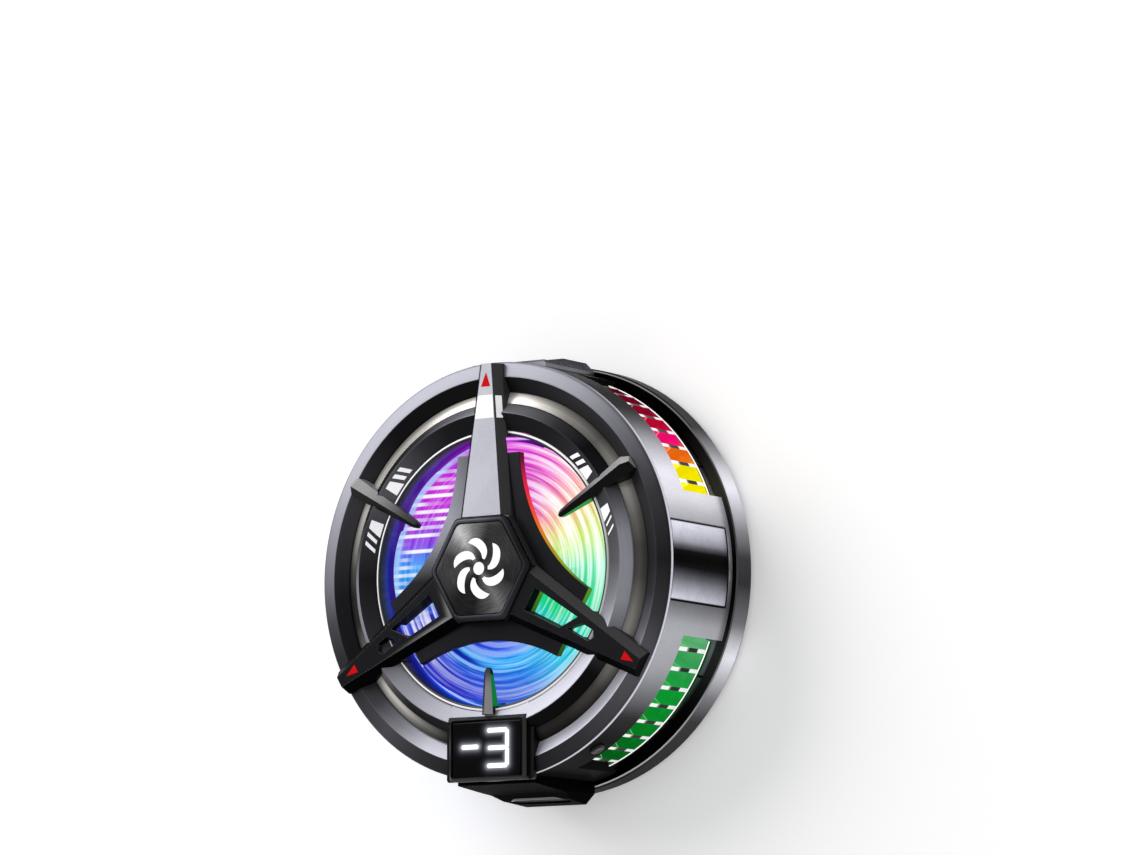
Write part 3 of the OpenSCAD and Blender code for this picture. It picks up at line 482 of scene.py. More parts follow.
innerTones = {
    "funnel": {
        0: 0.13, 20: 0.08, 45: 0.035, 60: 0.018, 90: 0.012, 110: 0.016, 122: 0.04, 135: 0.11, 150: 0.12,
        163: 0.045, 180: 0.014, 203: 0.03, 214: 0.13, 225: 0.25, 250: 0.34, 270: 0.4, 300: 0.48, 330: 0.55,
        345: 0.27},
    "slope": {
        0: 0.4, 10: 0.36, 20: 0.15, 30: 0.012, 45: 0.006, 60: 0.04, 75: 0.16, 95: 0.27, 110: 0.15,
        120: 0.05, 138: 0.006, 158: 0.008, 170: 0.13, 183: 0.42, 205: 0.43, 215: 0.26, 225: 0.09,
        234: 0.012, 270: 0.006, 318: 0.006, 328: 0.05, 337: 0.25, 346: 0.4},
}
trimTones = {
    5: 0.08, 15: 0.17, 25: 0.36, 35: 0.26, 45: 0.13, 60: 0.26, 72: 0.5, 82: 0.92, 96: 1.0, 108: 0.92,
    120: 0.55, 132: 0.5, 142: 0.6, 155: 0.75, 166: 0.45, 176: 0.12, 185: 0.04, 195: 0.04, 205: 0.24,
    214: 0.6, 222: 0.86, 230: 0.66, 240: 0.24, 250: 0.05, 270: 0.02, 300: 0.03, 315: 0.08, 330: 0.32,
    342: 0.26, 355: 0.09}
barrelTones = {
    0: 0.3, 11: 0.46, 14: 0.62, 18: 0.9, 25: 1.0, 33: 0.62, 40: 0.3, 48: 0.05, 54: 0.01, 90: 0.01,
    126: 0.01, 132: 0.05, 140: 0.3, 147: 0.62, 155: 0.82, 168: 0.72, 192: 0.55, 200: 0.62, 210: 0.58,
    218: 0.3, 226: 0.08, 236: 0.02, 270: 0.014, 304: 0.02, 314: 0.07, 322: 0.26, 330: 0.5, 340: 0.55,
    343: 0.5, 346: 0.32, 349: 0.18}
flangeTones = {
    3: 0.06, 10: 0.28, 15: 0.55, 22: 1.0, 28: 0.7, 33: 0.36, 42: 0.05, 54: 0.012, 126: 0.012, 138: 0.05,
    147: 0.36, 156: 0.95, 165: 0.5, 180: 0.04, 190: 0.1, 198: 0.4, 204: 0.85, 212: 0.5, 222: 0.12,
    232: 0.03, 250: 0.012, 290: 0.012, 317: 0.06, 324: 0.24, 330: 0.56, 336: 0.92, 340: 0.64, 345: 0.2,
    356: 0.04}
# Bevel tones: a painted highlight line on the flange's bevel
bevelTones = {20: 0.05, 60: 0.2, 90: 0.25, 200: 0.2, 270: 0.45, 310: 0.4, 335: 0.12, 350: 0.06}
# Arm tones: the top arm painted light, the other arms in painted shade
armTones = {0: 0.04, 57: 0.04, 64: 0.95, 116: 1.0, 123: 0.04, 210: 0.03, 330: 0.035}
plateTones = {
    0: 0.04, 45: 0.05, 75: 0.07, 92: 0.08, 106: 0.5, 130: 1.0, 158: 0.7, 185: 0.06, 270: 0.04, 330: 0.04}
rimTones = {
    0: 0.2, 30: 0.16, 60: 0.25, 90: 0.6, 130: 0.55, 180: 0.4, 240: 0.25, 270: 0.3, 300: 0.35, 330: 0.25}
bracketTones = {
    0: 0.03, 60: 0.3, 76: 0.6, 88: 0.35, 100: 0.2, 120: 0.06, 180: 0.03, 225: 0.014, 255: 0.016,
    270: 0.012, 300: 0.012}
# Keeps dark metal dark where it is seen along its skin
darkEdge = {"Specular_Tint": grey(0.04), "Specular_IOR_Level": 0.06}
# Ring bands carry painted light and shade, with a painted highlight line from 27.92 mm out
ringBands = [(0, ringTones["inside"]), (25.9, ringTones["outside"]), (27.92, ringTones["edge"])]
ringMetal = paintedSheenFinish("ring metal", ringBands, 0.34, "f1f1ff")
innerMetal = paintedSheenFinish("inner ring metal", [(0, innerTones["funnel"]), (21.0, innerTones["slope"])], 0.34,
                         "f1f1ff")
# Trim profile: a painted highlight across the trim's radius
trimProfile = ((22.3, 0.55), (22.6, 0.95), (23.0, 1.1), (23.4, 0.8), (23.9, 0.45))
trimSilver = paintedSheenFinish("polished trim", [(0, trimTones)], 0.24, "fffaf2", 0.5, trimProfile)
rimSatin = satinFinish("hub rim", "5c5d64", "686970", 0.34, metal=0.7, turnTones=rimTones, **darkEdge)
# The barrel's glow is painted light
barrelMetal = satinFinish("barrel metal", "efeff8", "f5f5fe", 0.3, metal=0.75, turnTones=barrelTones,
                          glow=0.22, **darkEdge)
bracketSatin = satinFinish("bracket satin", "a0a1a9", "acadb5", 0.34, metal=0.9, turnTones=bracketTones,
                           **darkEdge)
buttonSatin = satinFinish("button satin", "0e0f11", "17181b", 0.30, metal=0.3)
innerBlack = satinFinish("inner black", "0c0c0e", "151517", 0.55, grain=0.006)
# The paints glow with painted light that keeps them bright
paintWhite = satinFinish("white paint", "f0f1f4", "fafbfd", 0.5, grain=0.002, glow=0.3)
paintRed = satinFinish("red paint", "c4060a", "d0080c", 0.6, grain=0.002, glow=0.2, Specular_IOR_Level=0.05)
print("shell finishes made")


# Small parts inside
steel = turnedFinish("steel", "8d9096", "a6a9ae", 0.28, lines=6.0)
plated = satinFinish("plated magnet", "8a8d93", "a3a6ab", 0.24, metal=1.0)
bronze = satinFinish("sintered bronze", "8a6a3a", "a27f48", 0.46, metal=1.0, grain=0.01)
copper = satinFinish("enamelled copper", "9a4a22", "b8602e", 0.30, metal=1.0, grain=0.008)
ceramic = satinFinish("ceramic", "d9dadb", "ececec", 0.5, grain=0.004)
leadRed = satinFinish("red lead", "8e1414", "b01c1c", 0.4)
sensorBlack = satinFinish("sensor epoxy", "161616", "242424", 0.3)
board = satinFinish("board lacquer", "0d2a1c", "123a26", 0.35)
coldMetal = turnedFinish("cold plate", "b4b8be", "cfd2d7", 0.26, lines=4.0, depth=0.004)
moduleBlack = satinFinish("display module", "101114", "1b1c20", 0.4)
foamDark = satinFinish("foam", "26272b", "3a3b40", 0.9, grain=0.12)
silicone = satinFinish("silicone", "232427", "2f3034", 0.62, grain=0.006)
ledWhite, ledTree, ledShader = startFinish("led", Roughness=0.3, Emission_Strength=1.2)
ledGlow = blendTones(ledTree, noise(ledTree, inMillimetres(ledTree), 1.5), tone("e8ecff"), tone("ffffff"))
feed(ledTree, ledShader, Base_Color=ledGlow, Emission_Color=ledGlow)


# Colours of the lights round the fan, painted on as glow, by degrees from +X:
# bright, in the darker arcs, and how much of it is painted white highlight
fanLights = {
    0: "a4f6d8", 15: "dcf8a8", 30: "f8f0a8", 45: "f8c4bc", 60: "f58cdc", 75: "f254e0", 90: "e234e8",
    105: "c62ce2", 120: "a832e8", 140: "8a40f0", 160: "6a48ec", 180: "4456ea", 200: "344ce2",
    220: "2a34d0", 240: "2048dc", 260: "1c6cec", 280: "1898f4", 300: "18bcf6", 315: "20d6e4",
    330: "24e4b4", 345: "58f0b4"}
fanShades = {
    0: "58d89c", 20: "c8e060", 40: "f09090", 60: "e048b8", 90: "a010b8", 120: "6810b0", 150: "4a1cb4",
    180: "1c28b0", 220: "160c88", 250: "1028b0", 280: "0858c8", 310: "0cbcd4", 335: "0cd084"}
fanWhite = {
    0: 0.75, 18: 0.95, 30: 1.0, 50: 0.95, 75: 0.45, 95: 0.3, 125: 0.4, 150: 0.5, 190: 0.6, 212: 0.75,
    228: 0.3, 250: 0.22, 280: 0.25, 310: 0.3, 335: 0.5}
# Low on the disc the colour runs by the radius
lowLights = ((6, "4a30e0"), (9.5, "3a54f0"), (11.5, "18bcff"), (13, "20c8ff"), (15, "1068ec"),
             (17.8, "3a18c0"))
# Level dashes: pitch of the rows, share of it that is
# bar, waves in a millimetre along them, colours by height
dashSet = {"row": 1.05, "bar": 0.5, "length": 0.13, "span": (-12, 12),
           "colours": ((-12, "2a3ce0"), (-4, "1890f4"), (2, "22a8f8"), (4.5, "4078f0"), (6.5, "8c38e8"),
                       (9, "a42ce0"), (12, "d81ce0"))}
# Colours of the LEDs' light painted as glow on the sink and its fins, by degrees
ventLights = {
    18: "f8f200", 30: "f4e600", 32: "f08018", 37.5: "e86010", 39.5: "f2107c", 43: "ee0c70", 45: "d0083e",
    50: "a80830", 55: "84062a", 64: "60041c", 75: "40040c", 100: "6a20c0", 130: "8a34f0", 165: "5a3cf0",
    200: "2f50f0", 240: "1f78f0", 285: "044a14", 298: "046a1e", 310: "088a28", 322: "10a038",
    332: "3ca45c", 339: "66b67c"}


# Lit disc, all of it painted glow: the light's colour at each angle in thin arcs round the axis, and to the
# left in level dashes on white, the white being painted highlight;
# the pattern is cast on the blades along one slant, so that its arcs run on from blade to blade
castSet = {"plane": 16.65, "slant": (-0.666, 0.159)}
# Where each look rises and falls, in shares of a turn from +X or in millimetres of radius
discSet = {
    "green": {"radius": (13.0, 9.5), "turn": (0.86, 0.92), "tone": "14e078"},
    "low": {"rise": (0.6, 0.67), "fall": (0.86, 0.78), "share": 0.6, "span": (6, 18)},
    "left": {"rise": (0.28, 0.36), "fall": (0.57, 0.53), "share": 0.92, "shade": "2808a0"},
    # Tips: a pale painted glow on the blade tips
    "tips": {"radius": (16.95, 17.3), "share": 0.7, "tone": "a8d4ff"},
}


def discFinish(name, level):
    material, tree, shader = startFinish(name, Roughness=0.4, Specular_IOR_Level=0.2,
                                         Emission_Strength=level)
    x, y, z = splitAxes(tree, inMillimetres(tree))
    height = calc(tree, "SUBTRACT", z, castSet["plane"])
    x, y = (calc(tree, "MULTIPLY_ADD", height, slope, axis)
            for slope, axis in zip(castSet["slant"], (x, y)))
    radius, turn, z = roundAxis(tree, joinAxes(tree, x, y, z))
    angle = times(tree, turn, 2 * math.pi)
    c, s = calc(tree, "COSINE", angle), calc(tree, "SINE", angle)
    green, lowSet, leftSet, tipSet = (discSet[key] for key in ("green", "low", "left", "tips"))

    def arcs(perRadius, perTurn, detail):
        place = joinAxes(tree, times(tree, radius, perRadius), times(tree, c, perTurn),
                         times(tree, s, perTurn))
        return noise(tree, place, 1.0, detail, 0.6)

    def whiter(share, colour):
        return blendTones(tree, share, colour, grey(1.0))

    broad, fine = arcs(1.5, 0.7, 4), arcs(5.0, 1.1, 2)
    lights = tonesRound(tree, turn, fanLights)
    share = times(tree, spread(tree, radius, *green["radius"]), spread(tree, turn, *green["turn"]))
    lights = blendTones(tree, share, lights, tone(green["tone"]))
    low = times(tree, spread(tree, turn, *lowSet["rise"]),
                spread(tree, turn, *lowSet["fall"], 0.0, lowSet["share"]))
    lights = blendTones(tree, low, lights, spanTones(tree, radius, lowSet["span"], lowLights))
    shades = tonesRound(tree, turn, fanShades)
    colour = blendTones(tree, spread(tree, broad, 0.36, 0.52), shades, lights)
    colour = whiter(times(tree, spread(tree, broad, 0.46, 0.62), tonesRound(tree, turn, fanWhite)), colour)
    # Glints: painted white highlights
    glint = spread(tree, fine, 0.58, 0.72, 0.0, 0.5)
    colour = whiter(times(tree, glint, spread(tree, low, 0.0, 0.6, 1.0, 0.45)), colour)
    row = times(tree, y, 1 / dashSet["row"])
    along = joinAxes(tree, times(tree, x, dashSet["length"]), times(tree, calc(tree, "FLOOR", row), 7.3))
    chance = noise(tree, along, 1.0, 2, 0.5)
    halfBar = 0.5 * dashSet["bar"]
    inBar = spread(tree, calc(tree, "PINGPONG", row, 0.5), 0.44 - halfBar, 0.6 - halfBar)
    bars = spanTones(tree, y, dashSet["span"], dashSet["colours"])
    bars = blendTones(tree, spread(tree, broad, 0.4, 0.6, 0.35, 0.0), bars, tone(leftSet["shade"]))
    bars = whiter(spread(tree, fine, 0.5, 0.68, 0.0, 0.15), bars)
    dashes = whiter(times(tree, inBar, spread(tree, chance, 0.36, 0.6, 0.0, 0.95)), bars)
    left = times(tree, spread(tree, turn, *leftSet["rise"]), spread(tree, turn, *leftSet["fall"]))
    colour = blendTones(tree, times(tree, left, leftSet["share"]), colour, dashes)
    tips = times(tree, spread(tree, radius, *tipSet["radius"]), times(tree, left, tipSet["share"]))
    colour = blendTones(tree, tips, colour, tone(tipSet["tone"]))
    feed(tree, shader, Base_Color=scaleTone(tree, colour, 0.12), Emission_Color=colour)
    return material


# Fins lit from inside, the light painted on as glow: coloured faces, painted brighter in front of the fold,
# and bare metal on the edges that face outwards, with painted highlights and shade along them from low to
# top
finTones = [(0.0, 0.95), (0.15, 0.95), (0.19, 0.01), (0.56, 0.006), (0.64, 0.3), (0.69, 0.95), (1.0, 0.95)]


def finFinish():
    material, tree, shader = startFinish("lit fins", Metallic=0.4, Specular_IOR_Level=0.2)
    spot = inMillimetres(tree)
    radius, turn, z = roundAxis(tree, spot)
    outward = facingOut(tree, spot, radius)
    edge = spread(tree, outward, 0.6, 0.85)
    wheel = tonesRound(tree, turn, ventLights)
    dull = noise(tree, spot, 0.9, 3)
    lit = scaleTone(tree, wheel, spread(tree, z, 9.6, 10.8, 0.74, 1.0))
    # Crease: a painted light line along the fold
    crease = times(tree, stepAt(tree, z, 10.1, 0.03), stepAt(tree, z, 10.3, -0.03))
    lit = blendTones(tree, times(tree, crease, 0.35), lit, grey(0.8))
    # Painted shade deeper in towards the core
    lit = scaleTone(tree, lit, spread(tree, radius, 15.0, 22.0, 0.4, 1.0))
    # Edge tones from low to top: painted highlights and painted shade
    bars = ramp(tree, spread(tree, z, 6.05, 13.35), [(place, grey(value)) for place, value in finTones])
    colour = blendTones(tree, edge, lit, bars)
    feed(tree, shader, Base_Color=scaleTone(tree, colour, spread(tree, edge, 0, 1, 0.35, 1.0)),
         Emission_Color=colour)
    feed(tree, shader, Emission_Strength=spread(tree, edge, 0, 1, 0.95, 0.4))
    feed(tree, shader, Roughness=calc(tree, "MULTIPLY_ADD", dull, 0.2, 0.25))
    return material


# Light guide: a white line on the lip's outer half, painted lighter and darker round the axis, black
# inside it, and a wall where the fan's light is painted on as glow, in painted shade high up and
# brightening down to the fan
wallTones = {**fanLights, 110: "7a1ca0", 120: "681890", 140: "4c147c", 160: "40106c", 180: "380e66",
             200: "300e6a", 220: "221484"}
lipTones = {
    0: 0.4, 20: 0.55, 45: 0.9, 90: 0.95, 150: 0.95, 175: 0.85, 195: 0.7, 215: 0.8, 235: 0.95, 260: 0.9,
    300: 0.8, 330: 0.6, 345: 0.45}


def guideFinish():
    material, tree, shader = startFinish("light guide", Roughness=0.35)
    spot = inMillimetres(tree)
    radius, turn, z = roundAxis(tree, spot)
    wheel = tonesRound(tree, turn, wallTones)
    deep = spread(tree, z, 19.5, 15.6)
    shades = scaleTone(tree, tonesRound(tree, turn, fanShades), 0.42)
    wall = blendTones(tree, spread(tree, deep, 0.02, 0.3), tone("0a0614"), shades)
    wall = blendTones(tree, spread(tree, deep, 0.5, 0.92), wall, wheel)
    wall = blendTones(tree, spread(tree, deep, 0.93, 1.0, 0.0, 0.7), wall, tone("d8ecff"))
    line = stepAt(tree, radius, 18.42)
    lip = blendTones(tree, line, tone("17171b"), tonesRound(tree, turn, lipTones))
    top = stepAt(tree, z, 19.5)
    cloud = spread(tree, noise(tree, spot, 0.8, 3), 0.3, 0.7, 0.85, 1.0)
    colour = blendTones(tree, top, wall, lip)
    feed(tree, shader, Base_Color=colour, Emission_Color=colour)
    shine = spread(tree, top, 0, 1, 0.75, 0.3)
    feed(tree, shader, Emission_Strength=times(tree, cloud, shine))
    return material


# The blades and the fan frame both take the disc's painted glow
bladeLit, frameLit = discFinish("lit blades", 0.95), discFinish("lit frame", 0.8)
finLit, guideLit = finFinish(), guideFinish()
print("lit finishes made")

# Front rings: closed outlines of (radius, height), eased at their corners
ringSet = {
    "bezel": [(18.8, 17.4), (26.5, 17.4), (26.5, 18.35), (28.0, 18.35), (28.0, 18.75), (27.7, 19.05),
              (25.9, 19.35), (24.05, 18.4), (24.05, 17.9), (18.8, 17.9)],
    "trim": [(22.35, 17.9), (23.95, 17.9), (23.95, 18.3), (22.35, 19.27)],
    "inner": [(18.8, 17.9), (22.3, 17.9), (22.3, 19.3), (21.0, 20.6), (18.8, 19.74)],
    "guide": [(18.1, 14.4), (18.7, 14.4), (18.7, 19.65), (18.1, 19.65)],
    "ease": 0.16,
    "notchHalf": 6.25,  # the display's box stands in the inner ring
    "notchTop": 19.4,
    "notchTurn": 19,
    "funnel": {"radius": 18.7, "height": 19.7, "run": 2.3, "rise": 0.9},
}


# Height of the funnel's cone at a radius
def funnelHeight(r):
    cone = ringSet["funnel"]
    return cone["height"] + (r - cone["radius"]) / cone["run"] * cone["rise"]


addPiece("frontBezel", lathe(rounded(ringSet["bezel"], ringSet["ease"])), ringMetal,
         stands=["front_bezel"])
addPiece("silverTrim", lathe(rounded(ringSet["trim"], 0.12)), trimSilver,
         stands=["silver_trim"])
addPiece("lightRing", lathe(rounded(ringSet["guide"], 0.2), 200), guideLit,
         stands=["light_ring"])


# Inner ring: its outline swept from one side of the notch round to the other, each radius
# starting on the notch's wall, and a low strip of the same funnel left along the notch's top
def innerRing():
    profile = rounded(ringSet["inner"], ringSet["ease"])
    radius, height = profile[None, :, 0], profile[None, :, 1]
    start = np.arcsin(ringSet["notchHalf"] / radius)
    along = np.linspace(0, 1, 240)[:, None]
    angle = -np.pi / 2 + start + along * (2 * np.pi - 2 * start)
    side = np.radians(np.linspace(-ringSet["notchTurn"], ringSet["notchTurn"], 41))[:, None]
    far = ringSet["notchTop"] / np.cos(side)
    inside, floor = ringSet["inner"][0]
    near = np.full_like(far, inside)
    r = np.concatenate([near, far, far, near], 1)
    z = np.where([[True, True, False, False]], floor, funnelHeight(r))
    strip = np.stack([r * np.sin(side), -r * np.cos(side), z], -1)
    return joined([loft(polar(radius, angle, height)), loft(strip)])


addPiece("innerRing", innerRing(), innerMetal, stands=["inner_ring"])
print("front rings made")

# Marks printed on the funnel beside two fins, each with its fin, side, angle from the fin and width
# of stripe; a block and two stripes given by the angles where their outer and inner ends start
markSet = {
    "places": [(30, 1, 5.8, 1.8), (150, -1, 5.8, 1.9), (150, 1, 7.4, 1.5), (30, -1, 8.0, 0.85)],
    "block": ((20.5, 0.0), (20.5, 3.2), (18.85, 5.7), (18.85, 0.0)),
    "stripes": ((4.7, 7.1), (8.1, 10.8)),
    "ends": (20.5, 19.1),
    "stand": 0.05,
}


# A mark is its corners spread in radius and angle and laid on the funnel's cone
def funnelMark(corners, fin, side, start):
    grid = patch(*[(r, a + start, 0) for r, a in corners], rows=5, columns=4)
    r, angle = grid[..., 0], np.radians(fin + side * grid[..., 1])
    return slab(polar(r, angle, funnelHeight(r) + markSet["stand"]), (0, 0, 2 * markSet["stand"]))


def funnelMarks():
    far, near = markSet["ends"]
    marks = []
    for fin, side, start, width in markSet["places"]:
        stripes = [((far, a), (far, a + width), (near, b + width), (near, b))
                   for a, b in markSet["stripes"]]
        marks += [funnelMark(shape, fin, side, start) for shape in [markSet["block"], *stripes]]
    return joined(marks)


addPiece("funnelMarks", funnelMarks(), paintWhite)

# Arms: the face's half width and height run straight from the hub to the tip
armSet = {"from": 6.75, "to": 27.6, "half": (3.1, 0.75), "height": (22.0, 20.85), "chamfer": (1.0, 1.1),
          "stand": 0.04, "flankStand": 0.03}


def armFace(along):
    share = (along - armSet["from"]) / (armSet["to"] - armSet["from"])
    return tuple(armSet[key][0] + share * (armSet[key][1] - armSet[key][0]) for key in ("half", "height"))


# A mark on an arm's face: four corners (along, across as a share of the face), turned to the arm's angle
def faceMark(corners, angle):
    spots = [(along, across * armFace(along)[0], armFace(along)[1] + armSet["stand"])
             for along, across in corners]
    return turnedShape(slab(patch(*spots, rows=3, columns=3), (0, 0, 2 * armSet["stand"])), angle)


# The same on a chamfer: the share runs from the face's edge down the slope
def chamferMark(low, high, shares, side, angle):
    (width, drop), stand, aside = armSet["chamfer"], armSet["stand"], armSet["flankStand"]
    spots = []
    for along, share in ((low, shares[0]), (low, shares[1]), (high, shares[1]), (high, shares[0])):
        half, height = armFace(along)
        spots.append((along, side * (half + share * width + aside), height - share * drop + stand))
    return turnedShape(slab(patch(*spots, rows=3, columns=3), (0, side * 2 * aside, 2 * stand)), angle)


# Low end, high end and half width of the triangle on each arm
triangles = {90: (24.5, 26.4, 0.72), 210: (24.2, 26.1, 0.6), 330: (25.1, 26.9, 0.62)}


def triangle(angle, low, high, half):
    share = half / armFace(low)[0]
    return faceMark([(low, -share), (low, share), (high, 0.0), (high, 0.0)], angle)


addPiece("armTriangles", joined([triangle(angle, *sizes) for angle, sizes in triangles.items()]), paintRed)

# Blocks on the top arm: ends and share of the face, ends, shares and side of the chamfer
blockSet = {"angle": 90, "face": (20.2, 23.3, 0.94), "chamfer": (20.2, 23.2, (0.2, 0.8), -1)}


def armBlocks():
    low, high, share = blockSet["face"]
    corners = [(low, -share), (low, share), (high, share), (high, -share)]
    return [faceMark(corners, blockSet["angle"]), chamferMark(*blockSet["chamfer"], blockSet["angle"])]


addPiece("armBlocks", joined(armBlocks()), paintWhite)


# A satin finish with a painted highlight along eased edges, where the skin turns
# from facing forward to facing aside, painted shade beyond, painted light at its own level
# on a flank that faces one way, and painted black shade on what faces left where asked
def edgedFinish(name, dark, light, rough, band, edge, side=1.0, flank=None, leftPaintedShade=False, **settings):
    material = satinFinish(name, dark, light, rough, **settings)
    tree, shader = reopened(material)
    nx, ny, nz = skinAxes(tree)
    # Painted highlight line on the eased edges
    line = times(tree, stepAt(tree, nz, band[0]), stepAt(tree, nz, band[1], -0.04))
    plain = shader.inputs["Base Color"].links[0].from_socket
    # Painted shade on the skin that faces aside
    plain = scaleTone(tree, plain, spread(tree, nz, band[0] - 0.04, band[1], side, 1.0))
    if flank:
        # Painted light on the flank that faces the given way
        (fx, fy), level = flank
        facing = spread(tree, calc(tree, "MULTIPLY_ADD", nx, fx, times(tree, ny, fy)), 0.3, 0.6)
        plain = blendTones(tree, facing, plain, grey(level))
    colour = blendTones(tree, line, plain, grey(edge))
    # Painted black shade on the skin that faces left
    if leftPaintedShade:
        colour = blendTones(tree, spread(tree, nx, -0.2, -0.4), colour, grey(0.008))
    feed(tree, shader, Base_Color=colour)
    return material


# Arms: painted light on the top arm and on flanks that face up and right, painted black shade on what faces
# left
armSatin = edgedFinish("arm satin", "acadb6", "b4b5be", 0.36, (0.74, 0.96), 0.3, 0.12, ((0.5, 0.866), 0.07),
                       True, metal=0.4, turnTones=armTones, **darkEdge)
easedCopy("star_arms", "starArms", armSatin, 0.13)


# Guard plate: satin metal with painted light and shade round the axis, and the fan's light painted as glow
# on the edges that face it
def plateFinish():
    material = satinFinish("plate satin", "9c9da6", "a6a7b0", 0.36, metal=0.4, turnTones=plateTones,
                           **darkEdge)
    tree, shader = reopened(material)
    spot = inMillimetres(tree)
    radius, turn, z = roundAxis(tree, spot)
    outward = facingOut(tree, spot, radius)
    nx, ny, nz = skinAxes(tree)
    side = times(tree, spread(tree, outward, 0.3, 0.7), spread(tree, nz, 0.75, 0.35))
    feed(tree, shader, Emission_Color=tonesRound(tree, turn, edgeLights), Emission_Strength=side)
    return material


# Colours of the fan's light painted on the plate's edges
edgeLights = {
    0: "8a9a10", 15: "b08a10", 30: "e07a18", 45: "ee4a20", 60: "e81c40", 80: "c01058", 95: "100408",
    150: "30105c", 200: "100828", 300: "04140c", 345: "4a8a20"}
easedCopy("guard_plate", "guardPlate", plateFinish(), 0.12)
print("guard made")

# Hub: six-sided outlines (half size across flats, height)
# stacked from the seat over the rim into the recess
hubSet = {
    "cap": [(6.95, 21.6), (6.95, 22.25), (6.62, 22.6), (6.2, 22.6), (6.12, 22.3)],
    "face": [(6.08, 22.3), (6.08, 22.47), (6.03, 22.5)],
    "corner": 0.7,
    "glyph": {"blades": 6, "dot": 0.85, "inner": 1.45, "outer": 4.15, "width": (16, 34), "sweep": 42,
              "crown": 0.25, "stand": 0.05},
}


def hexOutline(half, height, reach):
    angle = np.radians(np.arange(6) * 60)
    reach = min(reach, half / 4)
    corners = np.stack([np.cos(angle), np.sin(angle)], 1) * half / math.cos(math.pi / 6)
    flat = rounded(corners, reach, steps=6)
    return atHeight(flat, height)


def hexStack(rows, ease):
    profile = rounded(np.array(rows), ease, closed=False)
    return loft(np.stack([hexOutline(half, height, hubSet["corner"]) for half, height in profile]))


# Brushed face: fine rings about the axis, with a painted highlight where the brush marks would catch the
# light on either side
brushTones = {
    20: 0.05, 45: 0.03, 75: 0.02, 102: 0.08, 122: 0.22, 138: 0.09, 158: 0.03, 200: 0.08, 225: 0.03,
    262: 0.03, 286: 0.15, 304: 0.32, 320: 0.15, 340: 0.04}


def hubFinish():
    material, tree, shader = startFinish("brushed hub", Metallic=1.0, Anisotropic=0.6)
    spot = inMillimetres(tree)
    radius, turn, z = roundAxis(tree, spot)
    hair = noise(tree, joinAxes(tree, radius, times(tree, turn, 1.5)), 8.0, 3, 0.75)
    sheen = tonesRound(tree, turn, brushTones)
    feed(tree, shader, Base_Color=scaleTone(tree, sheen, spread(tree, hair, 0.3, 0.7, 0.55, 1.25)))
    feed(tree, shader, Roughness=calc(tree, "MULTIPLY_ADD", hair, 0.2, 0.25))
    feed(tree, shader, Tangent=addNode(tree, "Tangent", direction_type="RADIAL", axis="Z").outputs[0])
    bump(tree, shader, hair, 0.004)
    return material


# Rotor sign: blades between two swept curves, wider outwards, round a dot
def rotorGlyph():
    sign, face = hubSet["glyph"], hubSet["face"][-1][1]
    v = np.linspace(0, 1, 14)[:, None]
    u = np.linspace(-0.5, 0.5, 7)[None, :]
    r = sign["inner"] + (sign["outer"] - sign["inner"]) * v - sign["crown"] * (2 * u) ** 2 * v
    width = sign["width"][0] + (sign["width"][1] - sign["width"][0]) * np.sin(v * 2.4)
    angle = np.radians(sign["sweep"] * v ** 1.3 + width * u)
    blade = slab(polar(r, angle, face + sign["stand"]), (0, 0, 2 * sign["stand"]))
    around = np.radians(np.linspace(0, 360, 40, endpoint=False))
    dot = loft(polar(sign["dot"], around, face + sign["stand"] * np.array([[-1], [1]])))
    return joined(ringOf(blade, sign["blades"]) + [dot])


addPiece("hubCap", hexStack(hubSet["cap"], 0.12), rimSatin, stands=["hub_cap"], sharp=50)
addPiece("hubFace", hexStack(hubSet["face"], 0.03), hubFinish(), stands=["hub_face"])
addPiece("hubSign", rotorGlyph(), paintWhite)
print("hub made")

# Guide fins: gabled sections along the radius, (along, width, low edge, ridge) at tip, shoulder and heel
finSet = {"angles": (30, 150, 270), "along": (13.0, 25.0, 25.9), "width": (0.9, 2.6, 1.82),
          "ridge": (20.9, 21.55, 20.6), "low": (19.9, 17.95, 17.95), "pitch": 0.9, "shortEnd": 19.25,
          "short": 270, "noseEnd": 14.0, "noseReach": 1.02,
          "stations": (18.0, 18.05, 21.0, 22.3, 23.95, 25.0)}
ringLine = ((0, 0), (18.0, 0), (18.05, 19.78), (18.7, 19.78), (21.0, 20.68), (22.3, 19.38), (23.95, 18.38),
            (25.9, 19.43))


# A section is a house: floor on the ring, walls, and a roof
# whose slope is the pitch; the walls vanish where it is low
def guideFin(end):
    tip, nose = finSet["along"][0], finSet["noseEnd"]
    along = np.concatenate([np.linspace(tip, nose, 7), np.linspace(nose, end, 40), finSet["stations"]])
    along = np.unique(along)
    along = along[along <= end]
    width, ridge, low = (np.interp(along, finSet["along"], finSet[key])
                         for key in ("width", "ridge", "low"))
    low = np.maximum(low, np.interp(along, *zip(*ringLine)))
    full = np.sqrt(np.clip(1 - ((nose - along) / finSet["noseReach"]) ** 2, 0, 1))
    full[along > nose] = 1
    width = width * (0.25 + 0.75 * full)
    ridge = low + (ridge - low) * (0.45 + 0.55 * full)
    half = np.minimum(width / 2, (ridge - low) / finSet["pitch"])
    wall = np.maximum(ridge - finSet["pitch"] * width / 2, low + 0.01)
    across = np.stack([-half, half, half, 0 * half, -half], 1)
    height = np.stack([low, low, wall, ridge, wall], 1)
    return loft(np.stack([np.broadcast_to(along[:, None], across.shape), across, height], -1))


finEnds = [finSet["shortEnd"] if angle == finSet["short"] else finSet["along"][-1]
           for angle in finSet["angles"]]
guideFins = [turnedShape(guideFin(end), angle) for end, angle in zip(finEnds, finSet["angles"])]
